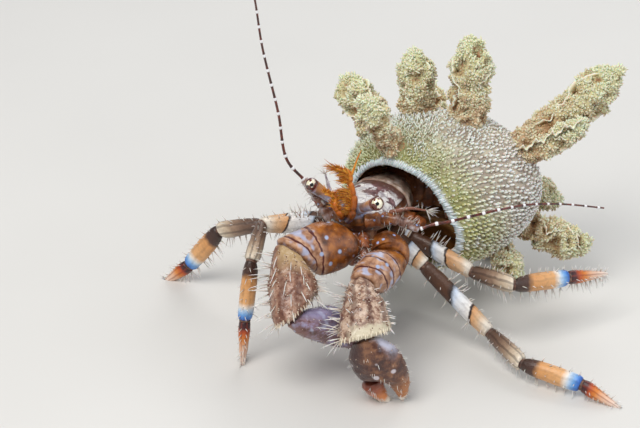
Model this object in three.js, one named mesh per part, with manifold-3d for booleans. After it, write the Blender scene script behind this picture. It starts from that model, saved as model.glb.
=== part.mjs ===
// A hermit crab living in a branching hydroid colony, as a still life-size model in millimetres.
// +X is to the viewer's right, +Y away from the viewer and +Z up. The floor is Z = 0. The crab looks out
// of the colony's mouth towards the viewer and a little to the left.
import * as THREE from "three";
import { mergeVertices } from "three/addons/utils/BufferGeometryUtils.js";
import Module from "manifold-3d";

const wasm = await Module();
wasm.setup();

// Driving dimensions
const browHeight = 15.5; // the roots of the eyestalks above the floor
const brow = new THREE.Vector3(3.0, 2.2, browHeight);
const heading = THREE.MathUtils.degToRad(245); // of the crab's nose, from +X towards +Y
const shieldLength = 7.4; // the hard front part of the carapace
const bodyLength = 11; // brow to the waist
const jointGap = 0.2; // between the segments of a limb
const seam = 0.3; // between a piece and the piece that it grows from

const point = (x, y, z) => new THREE.Vector3(x, y, z);
const forward = point(Math.cos(heading), Math.sin(heading), 0);
const leftward = point(-Math.sin(heading), Math.cos(heading), 0);
const up = point(0, 0, 1);

// A place on the crab: ahead of the brow, to the crab's left of it, and above it.
const onCrab = (ahead, left, above) =>
  brow
    .clone()
    .addScaledVector(forward, ahead)
    .addScaledVector(leftward, left)
    .addScaledVector(up, above);

// ---- surfaces ----

// A closed skin over rings that have the same number of points, with a flat face over each end.
function loft(rings) {
  const count = rings[0].length;
  const faces = [];
  for (let r = 0; r + 1 < rings.length; r++) {
    for (let k = 0; k < count; k++) {
      const here = r * count + k;
      const beside = r * count + ((k + 1) % count);
      faces.push(here, beside, beside + count, here, beside + count, here + count);
    }
  }
  const last = (rings.length - 1) * count;
  for (let k = 1; k + 1 < count; k++) {
    faces.push(0, k + 1, k);
    faces.push(last, last + k, last + k + 1);
  }
  const geometry = new THREE.BufferGeometry().setFromPoints(rings.flat());
  geometry.setIndex(faces);
  return geometry;
}

// An oval ring round a centre, across the direction "along". "tall" is the way its second radius points.
function ring(centre, along, tall, wide, high, sides) {
  const second = tall.clone().addScaledVector(along, -tall.dot(along)).normalize();
  const first = new THREE.Vector3().crossVectors(second, along);
  return Array.from({ length: sides }, (_, k) => {
    const a = (2 * Math.PI * k) / sides;
    return centre
      .clone()
      .addScaledVector(first, wide * Math.cos(a))
      .addScaledVector(second, high * Math.sin(a));
  });
}

// A round tube through "path", whose radii at equal steps along it are in "radii".
function tube(path, radii, sides, tall = up) {
  const curve = new THREE.CatmullRomCurve3(path);
  const rings = radii.map((radius, i) => {
    const t = i / (radii.length - 1);
    return ring(curve.getPointAt(t), curve.getTangentAt(t), tall, radius, radius, sides);
  });
  return loft(rings);
}

// ---- joins and cuts ----

function solid(geometry) {
  const bare = geometry.clone();
  bare.deleteAttribute("normal");
  bare.deleteAttribute("uv");
  const merged = mergeVertices(bare, 1e-4);
  return new wasm.Manifold(
    new wasm.Mesh({
      numProp: 3,
      vertProperties: merged.attributes.position.array,
      triVerts: new Uint32Array(merged.index.array),
    }),
  );
}

function geometryOf(made) {
  const mesh = made.getMesh();
  const geometry = new THREE.BufferGeometry();
  geometry.setAttribute("position", new THREE.BufferAttribute(mesh.vertProperties, 3));
  geometry.setIndex(new THREE.BufferAttribute(mesh.triVerts, 1));
  return geometry;
}

const cut = (geometry, ...tools) =>
  geometryOf(tools.reduce((left, tool) => left.subtract(solid(tool)), solid(geometry)));
const join = (...pieces) =>
  geometryOf(pieces.map(solid).reduce((all, piece) => all.add(piece)));
const keep = (geometry, tool) => geometryOf(solid(geometry).intersect(solid(tool)));

const block = (low, high) => {
  const size = high.clone().sub(low);
  return new THREE.BoxGeometry(size.x, size.y, size.z).translate(
    (low.x + high.x) / 2,
    (low.y + high.y) / 2,
    (low.z + high.z) / 2,
  );
};
// A big block whose near face lies across the unit direction "normal" at "place".
const blockSize = 24;
const beyond = (place, normal) =>
  new THREE.BoxGeometry(blockSize, blockSize, blockSize)
    .translate(0, 0, blockSize / 2)
    .applyQuaternion(new THREE.Quaternion().setFromUnitVectors(up, normal))
    .translate(place.x, place.y, place.z);
const underFloor = block(point(-60, -60, -20), point(60, 60, 0));

// One limb segment. Where it meets another it is made too long, by "overrun" times the ring's radius,
// and cut on the plane that halves the bend.
const overrun = 1.3;
function segment({ from, to, before, after, profile, tall, sides }) {
  const along = to.clone().sub(from).normalize();
  const rings = profile.map(([t, wide, high]) =>
    ring(from.clone().lerp(to, t), along, tall, wide, high, sides),
  );
  const cuts = [];
  const finishEnd = (points, joint, way, neighbour) => {
    if (!neighbour) return;
    const normal = neighbour.clone().add(along).normalize().multiplyScalar(way);
    const extra = joint.distanceTo(points[0]) * overrun;
    for (const p of points) p.addScaledVector(along, way * extra);
    cuts.push(beyond(joint.clone().addScaledVector(normal, -jointGap / 2), normal));
  };
  finishEnd(rings[0], from, -1, before);
  finishEnd(rings.at(-1), to, 1, after);
  return cuts.length ? cut(loft(rings), ...cuts) : loft(rings);
}

// ---- materials ----

const finish = (color, roughness) =>
  new THREE.MeshStandardMaterial({ color, roughness, metalness: 0 });
const materials = {
  colony: finish(0xcfcaa6, 0.85),
  plate: finish(0x9a7a62, 0.5),
  softSkin: finish(0xb58a70, 0.6),
  claw: finish(0x6e4a3a, 0.45),
  leg: finish(0xd9a878, 0.45),
  eyestalk: finish(0xb9aeb2, 0.5),
  eye: finish(0xe9dfbf, 0.15),
  antennule: finish(0xc9761c, 0.4),
  antenna: finish(0x6b2f22, 0.4),
};

const model = new THREE.Group();
function node(name, geometry, material) {
  const mesh = new THREE.Mesh(geometry, material);
  mesh.name = name;
  model.add(mesh);
}

// ---- the colony: a hollow dome with an arched mouth, and arms that stand out all round ----

const dome = {
  centre: point(12.4, 12.6, 12.2),
  radii: point(11.1, 8.8, 8.1),
  back: point(0.62, 0.77, 0.12).normalize(), // the way from the mouth to the far side
  wall: [1, 4.2], // its thickness at the mouth and at the far side
  lip: 0.45, // half the thickness of the mouth's rounded edge
  around: 25,
};
const mouth = [
  point(6.8, 8.0, 17.3),
  point(10.7, 5.9, 16.2),
  point(12.9, 4.6, 13.4),
  point(14.3, 4.4, 9.6),
  point(12.6, 5.6, 6.2),
  point(7.6, 8.8, 4.9),
  point(2.6, 11.4, 7.4),
  point(2.9, 11.2, 12.2),
  point(4.2, 10.0, 15.5),
];

// The dome's skin runs on an oval ball from the mouth's edge to the far side. "grow" moves it outwards.
function domePoint(turn, t, grow) {
  const radii = dome.radii.clone().addScalar(grow);
  const edge = new THREE.CatmullRomCurve3(mouth, true).getPointAt(turn);
  const start = edge.sub(dome.centre).divide(dome.radii);
  const reach = start.length();
  const from = start.normalize();
  const to = dome.back.clone();
  const angle = from.angleTo(to);
  const place = from
    .multiplyScalar(Math.sin((1 - t) * angle))
    .addScaledVector(to, Math.sin(t * angle))
    .divideScalar(Math.sin(angle));
  return place
    .multiplyScalar(reach + (1 - reach) * Math.min(1, 2.5 * t))
    .multiply(radii)
    .add(dome.centre);
}
const domeRing = (t, grow) =>
  Array.from({ length: dome.around }, (_, k) => domePoint(k / dome.around, t, grow));

const lipStep = -0.012; // the lip's inner ring lies a little outside the mouth's edge
const farEnd = 0.985; // the rings stop just short of the far side, in a small flat face
const outerSteps = [0, 0.05, 0.13, 0.24, 0.36, 0.48, 0.6, 0.72, 0.84, 0.93, farEnd];
const innerSteps = [0.04, 0.13, 0.26, 0.4, 0.54, 0.68, 0.82, 0.93];
const wallAt = (t) => THREE.MathUtils.lerp(...dome.wall, Math.min(1, 1.6 * t));
const chamberRings = (gap) => innerSteps.map((t) => domeRing(t, -wallAt(t) - gap));
const wallRings = [
  ...chamberRings(0).reverse(),
  domeRing(lipStep, -dome.lip),
  ...outerSteps.map((t) => domeRing(t, 0)),
];
const colonyBody = loft(wallRings);
const chamber = loft(chamberRings(seam)); // the room inside, a seam smaller than it is
const fullDome = loft([-0.03, ...outerSteps].map((t) => domeRing(t, seam)));
node("colony_dome", colonyBody, materials.colony);

// Each arm runs from inside the dome to its tip. "thick" is its radius, and a fork is a smaller arm on it.
const arms = {
  arm_front_left: { from: [8.2, 9.6, 17.4], to: [4.4, 7.4, 24.8], thick: 1.6 },
  arm_back_left: { from: [8.2, 14.2, 14.8], to: [2.8, 17.2, 22.6], thick: 2.3 },
  arm_top_left: { from: [10.4, 15.4, 17.2], to: [9.9, 16.2, 25.7], thick: 2.15 },
  arm_top: { from: [15.2, 13.2, 17.0], to: [15.7, 14.0, 28.3], thick: 2.4 },
  arm_right: {
    from: [19.4, 12.8, 15.0],
    to: [31.0, 15.0, 24.6],
    thick: 2.5,
    fork: { from: [20.6, 11.6, 16.0], to: [27.2, 10.3, 20.5], thick: 1.45 },
  },
  arm_right_back: { from: [19.6, 16.6, 12.0], to: [26.0, 20.4, 6.2], thick: 1.8 },
  arm_low_right: { from: [18.8, 12.0, 9.8], to: [28.6, 12.4, 4.7], thick: 2.0 },
  arm_under: { from: [17.2, 10.6, 8.2], to: [20.9, 7.6, 3.8], thick: 1.7 },
  arm_foot_left: { from: [9.4, 15.6, 8.4], to: [6.8, 19.0, -0.6], thick: 1.9 },
  arm_foot_right: { from: [17.2, 17.4, 7.4], to: [20.4, 20.2, -0.6], thick: 1.9 },
  arm_back: { from: [13.0, 18.2, 13.4], to: [11.6, 26.4, 17.6], thick: 2.1 },
};
const armProfile = [1.1, 1, 0.88, 0.96, 0.9, 0.98, 0.86, 0.35]; // a stem, then a knobbly rounded head

function armShape({ from, to, thick }) {
  const [root, tip] = [point(...from), point(...to)];
  const middle = root.clone().lerp(tip, 0.5).addScaledVector(up, -0.04 * root.distanceTo(tip));
  const tall = Math.abs(tip.z - root.z) > 0.8 * root.distanceTo(tip) ? leftward : up;
  return tube([root, middle, tip], armProfile.map((share) => share * thick), 8, tall);
}
for (const [name, arm] of Object.entries(arms)) {
  const whole = arm.fork ? join(armShape(arm), armShape(arm.fork)) : armShape(arm);
  node("colony_" + name, cut(whole, fullDome, underFloor), materials.colony);
}

// ---- trunk: one long oval body, parted into shield, rear carapace and underside ----

const trunkProfile = [
  // behind the brow, half width, half height, centre below the brow
  [-0.9, 0.9, 0.7, 1.5],
  [-0.3, 1.9, 1.3, 1.7],
  [1.2, 2.7, 2.0, 2.15],
  [3.8, 3.2, 2.3, 2.7],
  [6.8, 3.5, 2.5, 3.2],
  [9.2, 3.1, 2.3, 3.3],
  [bodyLength, 2.1, 1.6, 3.1],
];
const trunk = (grow) =>
  loft(
    trunkProfile.map(([behind, wide, high, below]) =>
      ring(onCrab(-behind, 0, -below), forward.clone().negate(), up, wide + grow, high + grow, 14),
    ),
  );
const trunkSkirt = -2.1; // the height of the seam between shield and underside, from the brow

// A block in the crab's own directions, as a geometry that is turned and set at the brow.
const crabBlock = (low, high) => block(low, high).rotateZ(heading).translate(brow.x, brow.y, brow.z);
const trunkSkin = trunk(0);
const far = 20; // past any side of the trunk
const shieldZone = crabBlock(
  point(-shieldLength, -far, trunkSkirt + seam / 2),
  point(far, far, far),
);
const undersideZone = crabBlock(
  point(-shieldLength, -far, -far),
  point(far, far, trunkSkirt - seam / 2),
);
const rearZone = crabBlock(point(-far, -far, -far), point(-shieldLength - seam, far, far));
node("shield", keep(trunkSkin, shieldZone), materials.plate);
node("trunk_underside", keep(trunkSkin, undersideZone), materials.softSkin);
node("carapace_rear", keep(trunkSkin, rearZone), materials.plate);
const trunkGrown = trunk(seam);

// The soft abdomen curls to the crab's left inside the dome, and ends in its small tail fan.
const abdomen = tube(
  [
    onCrab(-bodyLength - seam, 0, -3.1),
    point(9.6, 14.2, 11.8),
    point(13.4, 15.0, 11.7),
    point(16.4, 12.2, 11.5),
    point(15.0, 9.4, 11.0),
    point(13.0, 9.2, 10.8),
  ],
  [1.8, 2.7, 3.1, 3.1, 2.9, 2.4, 1.8, 1.2],
  10,
);
node("abdomen", keep(cut(abdomen, trunkGrown), chamber), materials.softSkin);

// ---- head: eyes on stalks, antennules, antennae and the outer mouthparts ----

const eyeRadius = 0.66;
const head = {
  right: {
    eye: point(-0.85, 2.1, 17.74),
    stalkRoot: onCrab(0.1, -0.75, -0.5),
    antennule: [
      onCrab(0.6, -0.6, -1.3),
      point(2.0, 0.2, 15.4),
      point(1.5, 0.0, 16.3),
      point(1.5, 0.2, 17.3),
      point(0.5, -0.2, 17.9),
    ],
    peduncle: [onCrab(-0.1, -2.1, -2.0), point(0.1, 3.3, 15.2), point(-1.6, 3.7, 17.5)],
    acicle: [point(0.6, 3.4, 14.9), point(0.95, 3.6, 15.9), point(0.55, 3.7, 18.1)],
    flagellum: [
      point(-1.62, 3.62, 17.5),
      point(-3.3, 3.6, 19.7),
      point(-4.15, 3.2, 25.2),
      point(-5.65, 2.7, 32.6),
      point(-6.3, 2.2, 37.8),
      point(-7.4, 1.6, 44.0),
    ],
  },
  left: {
    eye: point(5.63, -2.1, 17.79),
    stalkRoot: onCrab(0.1, 0.75, -0.5),
    antennule: [
      onCrab(0.6, 0.1, -1.5),
      point(3.2, 0.3, 15.4),
      point(3.4, 0.4, 17.0),
      point(3.05, 0.6, 18.6),
      point(2.9, 0.7, 19.8),
      point(1.6, 0.4, 20.4),
    ],
    peduncle: [onCrab(0.1, 1.7, -1.6), point(7.2, 1.2, 14.3), point(10.0, 0.6, 13.5)],
    acicle: [point(7.0, 1.4, 14.9), point(8.9, 1.2, 15.5), point(10.7, 1.1, 15.3)],
    flagellum: [
      point(10.1, 0.55, 13.5),
      point(11.2, 0.7, 13.9),
      point(12.8, 0.9, 14.1),
      point(15.1, 1.5, 14.4),
      point(18.1, 2.6, 14.6),
      point(21.1, 4.6, 14.1),
      point(25.3, 7.4, 12.7),
      point(29.6, 9.4, 11.2),
    ],
  },
};

const headRadii = {
  eyestalk: [0.72, 0.58, 0.52, 0.58, 0.72],
  antennule: [0.42, 0.36, 0.32, 0.3, 0.28, 0.26, 0.26, 0.25],
  peduncle: [0.8, 0.72, 0.62, 0.56, 0.5],
  acicle: [0.34, 0.3, 0.28, 0.25],
  flagellum: Array(15).fill(0.26),
};
const eyeGap = 0.12; // between an eye and the hollow end of its stalk
const lashSocket = 0.62; // keeps the start of a feeler clear of the base that it grows from
const ballAt = (centre, radius, around, down) =>
  new THREE.SphereGeometry(radius, around, down).translate(centre.x, centre.y, centre.z);

for (const [side, own] of Object.entries(head)) {
  const away = own.eye.clone().sub(own.stalkRoot).normalize();
  const neck = own.eye.clone().addScaledVector(away, -eyeRadius * 0.75);
  const socket = ballAt(own.eye, eyeRadius + eyeGap, 10, 6);
  node("eye_" + side, ballAt(own.eye, eyeRadius, 12, 8), materials.eye);
  const middle = own.stalkRoot.clone().lerp(neck, 0.5);
  const stalk = tube([own.stalkRoot, middle, neck], headRadii.eyestalk, 9);
  node("eyestalk_" + side, cut(stalk, trunkGrown, socket), materials.eyestalk);
  const antennule = tube(own.antennule, headRadii.antennule, 7, forward);
  node("antennule_" + side, cut(antennule, trunkGrown), materials.antennule);
  const peduncle = tube(own.peduncle, headRadii.peduncle, 10);
  const acicle = tube(own.acicle, headRadii.acicle, 8, leftward);
  const base = cut(join(peduncle, acicle), trunkGrown);
  node("antenna_base_" + side, base, materials.antennule);
  const lash = tube(own.flagellum, headRadii.flagellum, 6, forward);
  const lashRoot = ballAt(own.peduncle.at(-1), lashSocket, 10, 6);
  node("antenna_" + side, cut(lash, lashRoot), materials.antenna);
}

const jawRadii = [0.5, 0.54, 0.54, 0.5, 0.45, 0.3];
const jaws = {
  right: [point(1.5, 2.2, 13.1), point(0.6, 1.5, 12.7), point(0.1, 0.9, 11.5), point(0.4, 0.5, 10.2)],
  left: [point(4.3, 0.9, 12.6), point(4.45, -0.3, 12.3), point(4.4, -1.2, 11.4), point(4.0, -1.5, 10.2)],
};
for (const [side, path] of Object.entries(jaws)) {
  const jaw = tube(path, jawRadii, 8, forward);
  node("maxilliped_" + side, cut(jaw, trunkGrown), materials.softSkin);
}

// ---- limbs ----

// Each ring of a segment is [share of its length, half width, half height].
const legProfiles = {
  base: [
    [0, 0.8, 0.9],
    [0.35, 0.95, 1.05],
    [1, 0.75, 0.85],
  ],
  merus: [
    [0, 0.75, 0.85],
    [0.2, 0.85, 1.1],
    [0.55, 0.9, 1.15],
    [0.86, 0.8, 1.0],
    [1, 0.66, 0.78],
  ],
  carpus: [
    [0, 0.66, 0.76],
    [0.24, 0.74, 0.86],
    [0.6, 0.82, 0.98],
    [0.85, 0.84, 0.98],
    [1, 0.7, 0.8],
  ],
  propodus: [
    [0, 0.68, 0.78],
    [0.2, 0.78, 0.94],
    [0.5, 0.82, 1.0],
    [0.85, 0.78, 0.96],
    [1, 0.66, 0.8],
  ],
  dactyl: [
    [0, 0.64, 0.78],
    [0.2, 0.62, 0.76],
    [0.5, 0.48, 0.6],
    [0.8, 0.32, 0.4],
    [1, 0.25, 0.26],
  ],
};

// The joints of each walking leg from the trunk out to the tip of the claw-like last segment.
const walkingLegs = {
  leg_2_right: [
    point(2.3, 5.0, 11.6),
    point(0.6, 5.4, 11.5),
    point(-5.9, 3.6, 12.3),
    point(-6.9, -0.9, 10.6),
    point(-7.6, -2.5, 4.7),
    point(-7.9, -3.5, -0.6),
  ],
  leg_3_right: [
    point(3.0, 7.0, 11.2),
    point(1.0, 7.9, 10.9),
    point(-6.2, 10.3, 8.8),
    point(-10.6, 11.9, 7.2),
    point(-14.0, 13.4, 2.2),
    point(-17.0, 14.4, -0.7),
  ],
  leg_2_left: [
    point(7.6, 3.4, 11.0),
    point(10.6, 1.8, 8.6),
    point(17.3, -1.7, 2.7),
    point(20.3, -6.6, 2.0),
    point(26.0, -9.6, 1.4),
    point(29.8, -11.7, -0.2),
  ],
  leg_3_left: [
    point(7.8, 5.6, 11.2),
    point(9.2, 6.2, 9.7),
    point(15.6, 2.8, 7.3),
    point(19.7, -0.3, 7.5),
    point(25.4, 2.8, 6.6),
    point(29.9, 5.6, 5.5),
  ],
};

const segmentNames = ["base", "merus", "carpus", "propodus", "dactyl"];

for (const [limbName, joints] of Object.entries(walkingLegs)) {
  const ways = joints.slice(1).map((joint, i) => joint.clone().sub(joints[i]).normalize());
  segmentNames.forEach((name, i) => {
    const shape = segment({
      from: joints[i],
      to: joints[i + 1],
      before: ways[i - 1],
      after: ways[i + 1],
      profile: legProfiles[name],
      tall: up,
      sides: 8,
    });
    const fitted = i === 0 ? cut(shape, trunkGrown) : cut(shape, underFloor);
    node(limbName + "_" + name, fitted, materials.leg);
  });
}

// The two claw limbs. Each segment has its end points, its "tall" direction and its own profile.
const viewerward = point(0, -0.883, 0.469); // the broad face of the right claw arm turns this way
const clawLimbs = {
  right: {
    joints: [
      point(2.3, 3.4, 11.2),
      point(2.8, -0.7, 12.6),
      point(-2.9, -3.9, 13.0),
      point(-2.5, -9.0, 8.9),
    ],
    profiles: [
      [
        [0, 0.8, 0.8],
        [0.5, 1.0, 1.0],
        [1, 1.2, 1.2],
      ],
      [
        [0, 1.7, 1.2],
        [0.2, 2.5, 1.5],
        [0.5, 2.75, 1.7],
        [0.75, 2.3, 1.6],
        [1, 1.7, 1.4],
      ],
      [
        [0, 1.6, 1.3],
        [0.3, 2.2, 2.0],
        [0.6, 2.5, 2.3],
        [0.82, 2.3, 2.1],
        [1, 1.5, 1.4],
      ],
    ],
    tall: viewerward,
    palm: { tip: point(6.7, -4.0, 3.4), side: point(0.1, 0.3, 1), wide: 2.0, high: 1.9 },
  },
  left: {
    joints: [
      point(6.3, 1.2, 12.4),
      point(7.2, -1.1, 10.9),
      point(4.2, -6.4, 11.0),
      point(4.4, -11.5, 7.9),
    ],
    profiles: [
      [
        [0, 1.0, 1.0],
        [0.35, 1.8, 1.7],
        [0.7, 2.1, 2.0],
        [1, 1.6, 1.6],
      ],
      [
        [0, 1.5, 1.5],
        [0.3, 2.1, 2.0],
        [0.65, 2.1, 2.0],
        [1, 1.3, 1.3],
      ],
      [
        [0, 1.3, 1.2],
        [0.3, 2.0, 1.7],
        [0.6, 2.4, 2.0],
        [0.85, 2.6, 2.0],
        [1, 2.1, 1.6],
      ],
    ],
    tall: viewerward,
    palm: { tip: point(7.6, -10.2, -0.2), side: point(-1, 0.1, -0.1), wide: 2.7, high: 1.7 },
  },
};

// The hand's rings are [share of its length, shift towards the moving finger, half width, half height],
// the last three as shares of the palm's own half width and half height.
const palmProfile = [
  [0, 0, 0.56, 0.7],
  [0.2, 0, 0.92, 0.96],
  [0.36, 0, 1, 1],
  [0.52, 0, 0.96, 0.92],
  [0.56, -0.5, 0.46, 0.76],
  [0.76, -0.46, 0.36, 0.52],
  [0.92, -0.34, 0.2, 0.3],
  [1, -0.22, 0.1, 0.14],
];
const fingerProfile = [
  [0.6, 0.5, 0.42, 0.72],
  [0.76, 0.5, 0.34, 0.52],
  [0.92, 0.36, 0.2, 0.3],
  [1, 0.22, 0.1, 0.14],
];

function handShape(profile, from, palm, before) {
  const along = palm.tip.clone().sub(from);
  const way = along.clone().normalize();
  const side = palm.side.clone().addScaledVector(way, -palm.side.dot(way)).normalize();
  const tall = new THREE.Vector3().crossVectors(way, side);
  const rings = profile.map(([t, shift, wide, high]) => {
    const centre = from
      .clone()
      .addScaledVector(along, t)
      .addScaledVector(side, shift * palm.wide);
    return ring(centre, way, tall, wide * palm.wide, high * palm.high, 12);
  });
  if (!before) return loft(rings);
  for (const p of rings[0]) p.addScaledVector(way, -palm.wide);
  const normal = before.clone().add(way).normalize().negate();
  return cut(loft(rings), beyond(from.clone().addScaledVector(normal, -jointGap / 2), normal));
}

const clawSegments = ["base", "merus", "carpus"];
for (const [side, limb] of Object.entries(clawLimbs)) {
  const wrist = limb.joints.at(-1);
  const stops = [...limb.joints, limb.palm.tip];
  const ways = stops.slice(1).map((stop, i) => stop.clone().sub(stops[i]).normalize());
  clawSegments.forEach((name, i) => {
    const shape = segment({
      from: stops[i],
      to: stops[i + 1],
      before: ways[i - 1],
      after: ways[i + 1],
      profile: limb.profiles[i],
      tall: limb.tall,
      sides: 12,
    });
    node("claw_" + side + "_" + name, i === 0 ? cut(shape, trunkGrown) : shape, materials.claw);
  });
  const palm = handShape(palmProfile, wrist, limb.palm, ways[2]);
  const finger = handShape(fingerProfile, wrist, limb.palm);
  node("claw_" + side + "_palm", cut(palm, underFloor), materials.claw);
  node("claw_" + side + "_finger", cut(finger, underFloor), materials.claw);
}

// The small fourth legs stay inside the mouth of the dome and brace against it.
for (const [side, sign] of [["right", -1], ["left", 1]]) {
  const brace = tube(
    [
      onCrab(-7.2, sign * 2.6, -4.0),
      onCrab(-7.6, sign * 4.2, -4.6),
      onCrab(-6.6, sign * 5.2, -4.2),
      onCrab(-5.4, sign * 5.3, -3.6),
    ],
    [0.6, 0.62, 0.6, 0.55, 0.5, 0.32],
    8,
  );
  node("leg_4_" + side, cut(brace, trunkGrown), materials.leg);
}

// The origin is the middle of the footprint, on the floor.
const box = new THREE.Box3().setFromObject(model);
model.position.set(-(box.min.x + box.max.x) / 2, -(box.min.y + box.max.y) / 2, 0);

export default model;
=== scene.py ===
# A small hermit crab in its branching hydroid colony: the colony's skin and coat, the crab's plates,
# limbs, eyes and feelers, its bristles, and a plain studio. Shapes are in millimetres until makePiece.
import math

import bpy
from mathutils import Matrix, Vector
import numpy as np


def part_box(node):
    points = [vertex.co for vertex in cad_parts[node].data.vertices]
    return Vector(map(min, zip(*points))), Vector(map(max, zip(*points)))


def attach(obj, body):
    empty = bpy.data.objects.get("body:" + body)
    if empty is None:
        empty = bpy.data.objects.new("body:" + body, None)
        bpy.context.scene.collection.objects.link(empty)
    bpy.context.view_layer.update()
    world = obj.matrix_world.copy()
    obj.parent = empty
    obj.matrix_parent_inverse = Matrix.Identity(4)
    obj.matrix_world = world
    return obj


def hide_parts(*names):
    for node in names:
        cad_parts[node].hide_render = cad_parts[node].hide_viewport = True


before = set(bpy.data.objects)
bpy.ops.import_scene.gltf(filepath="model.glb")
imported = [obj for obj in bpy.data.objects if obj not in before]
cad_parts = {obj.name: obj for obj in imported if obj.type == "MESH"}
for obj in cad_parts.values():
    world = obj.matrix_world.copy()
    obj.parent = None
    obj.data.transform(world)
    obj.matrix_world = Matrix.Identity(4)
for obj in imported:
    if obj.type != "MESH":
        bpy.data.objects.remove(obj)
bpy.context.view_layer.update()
print("frame loaded:", len(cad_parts), "nodes")

# The crab's own directions, as its solids have them
brow = np.array([3.0, 2.2, 15.5])
heading = math.radians(245)
forward = np.array([math.cos(heading), math.sin(heading), 0.0])
leftward = np.array([-math.sin(heading), math.cos(heading), 0.0])
up = np.array([0.0, 0.0, 1.0])
viewerward = np.array([0.0, -0.883, 0.469])
eyes = {"right": (-0.85, 2.1, 17.74), "left": (5.63, -2.1, 17.79)}
low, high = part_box("eye_right")
shift = (np.array(low) + np.array(high)) * 500 - eyes["right"]  # from the crab's own origin to the frame's
patchHalf = 0.0015  # half the width of a tuft's patch on the coat's map


def onCrab(ahead, left, above):
    # the brow, plus so much along each of the crab's own directions
    return brow + forward * ahead + leftward * left + up * above


def toFrame(at):
    # millimetres round the crab to metres in the frame
    return (at + shift) * 0.001


# Working with arrays of points

def unit(v):
    # each vector over its own length
    return v / np.maximum(np.linalg.norm(v, axis=-1, keepdims=True), 1e-9)


def ease(start, end, value):
    # 0 before start, 1 after end, and an S-shaped rise between them
    t = np.clip((value - start) / (end - start), 0, 1)
    return t * t * (3 - 2 * t)


def grain(at, size, seed):
    # value noise: a random number at each corner of a cubic grid, blended smoothly inside each cell
    cell = np.floor(at / size).astype(np.int64)
    inside = at / size - cell
    inside = inside * inside * (3 - 2 * inside)
    total = 0
    for corner in np.ndindex(2, 2, 2):
        key = cell + corner
        code = key[..., 0] * 73856093 ^ key[..., 1] * 19349663 ^ key[..., 2] * 83492791 ^ seed * 6542989
        code = ((code ^ (code >> 13)) * 1274126177) & 0xFFFFFFFF
        value = ((code ^ (code >> 15)) & 0xFFFF) / 32767.5 - 1
        total = total + value * np.prod(np.where(corner, inside, 1 - inside), axis=-1)
    return total


def ringAngles(sides):
    # the angles of a ring's points, a full turn shared out evenly
    return np.arange(sides) * 2 * math.pi / sides


def readOff(table, places, stations):
    # each column of a table, read off at places between its stations
    return np.stack([np.interp(places, stations, column) for column in table.T], -1)


def spread(values, share):
    # evenly spaced values read off at shares of their range
    return np.interp(share, np.linspace(0, 1, len(values)), values)


def runOf(points):
    # the distance run along a path at each of its points
    return np.concatenate([[0], np.cumsum(np.linalg.norm(np.diff(points, axis=0), axis=1))])


def alongCurve(points, count, closed=False):
    # a curve through the points, each bend shared out by the root of the distance, cut in equal steps
    p = np.array(points, float)
    if closed:
        p = np.vstack([p[-1:], p, p[:2]])
    else:
        p = np.vstack([2 * p[0] - p[1], p, 2 * p[-1] - p[-2]])
    a, b, c, d = p[:-3], p[1:-2], p[2:-1], p[3:]
    s0, s1, s2 = (np.linalg.norm(v, axis=1)[:, None] ** 0.5 for v in (b - a, c - b, d - c))
    m1 = ((b - a) / s0 - (c - a) / (s0 + s1) + (c - b) / s1) * s1
    m2 = ((c - b) / s1 - (d - b) / (s1 + s2) + (d - c) / s2) * s1
    u = np.linspace(0, 1, 41)[:-1, None, None]
    fine = b + m1 * u + (3 * (c - b) - 2 * m1 - m2) * u**2 + (2 * (b - c) + m1 + m2) * u**3
    fine = np.vstack([fine.transpose(1, 0, 2).reshape(-1, p.shape[1]), p[-2]])
    run = runOf(fine)
    return readOff(fine, np.linspace(0, run[-1], count), run)


def rings(path, wide, high, sides, tall, way=None):
    # an oval across each point of a path: centre + first * wide * cos + second * high * sin
    along = unit(np.gradient(path, axis=0)) if way is None else np.broadcast_to(way, path.shape)
    second = unit(tall - along * (along @ tall)[:, None])
    first = np.cross(second, along)
    angle = ringAngles(sides)
    wide, high = np.broadcast_to(wide, len(path)), np.broadcast_to(high, len(path))
    return (path[:, None] + first[:, None] * (wide[:, None] * np.cos(angle))[..., None]
            + second[:, None] * (high[:, None] * np.sin(angle))[..., None])


def ball(centre, axis, radius, squash, rows, sides, margin, tall):
    # rings across an axis whose radii follow a sine and whose places follow a cosine
    lift = np.linspace(margin, math.pi - margin, rows)
    path = centre - axis * (np.cos(lift) * radius * squash)[:, None]
    return rings(path, np.sin(lift) * radius, np.sin(lift) * radius, sides, tall, axis)


def gridNormals(grid):
    # the step around the ring crossed with the step along the path
    around = np.roll(grid, -1, 1) - np.roll(grid, 1, 1)
    return unit(np.cross(around, np.gradient(grid, axis=0)))


def shell(grid, notes=None, paint=0):
    # a closed surface: squares between the rings, and a fan to the middle of each end ring
    rows, sides = grid.shape[:2]
    index = np.arange(rows * sides).reshape(rows, sides)
    beside = np.roll(index, -1, 1)
    quads = np.stack([index[:-1], beside[:-1], beside[1:], index[1:]], -1).reshape(-1, 4)
    first, last = np.full(sides, rows * sides), np.full(sides, rows * sides + 1)
    fans = [np.stack([first, beside[0], index[0]], 1), np.stack([last, index[-1], beside[-1]], 1)]

    def closed(values):
        values = np.broadcast_to(values, (rows, sides) + values.shape[2:])
        flat = values.reshape((rows * sides,) + values.shape[2:])
        return np.concatenate([flat, values[0].mean(0)[None], values[-1].mean(0)[None]])

    extra = {name: closed(np.asarray(v, float)) for name, v in (notes or {}).items()}
    return {"at": closed(grid), "quads": quads, "tris": np.vstack(fans), "notes": extra, "paint": paint}


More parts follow.
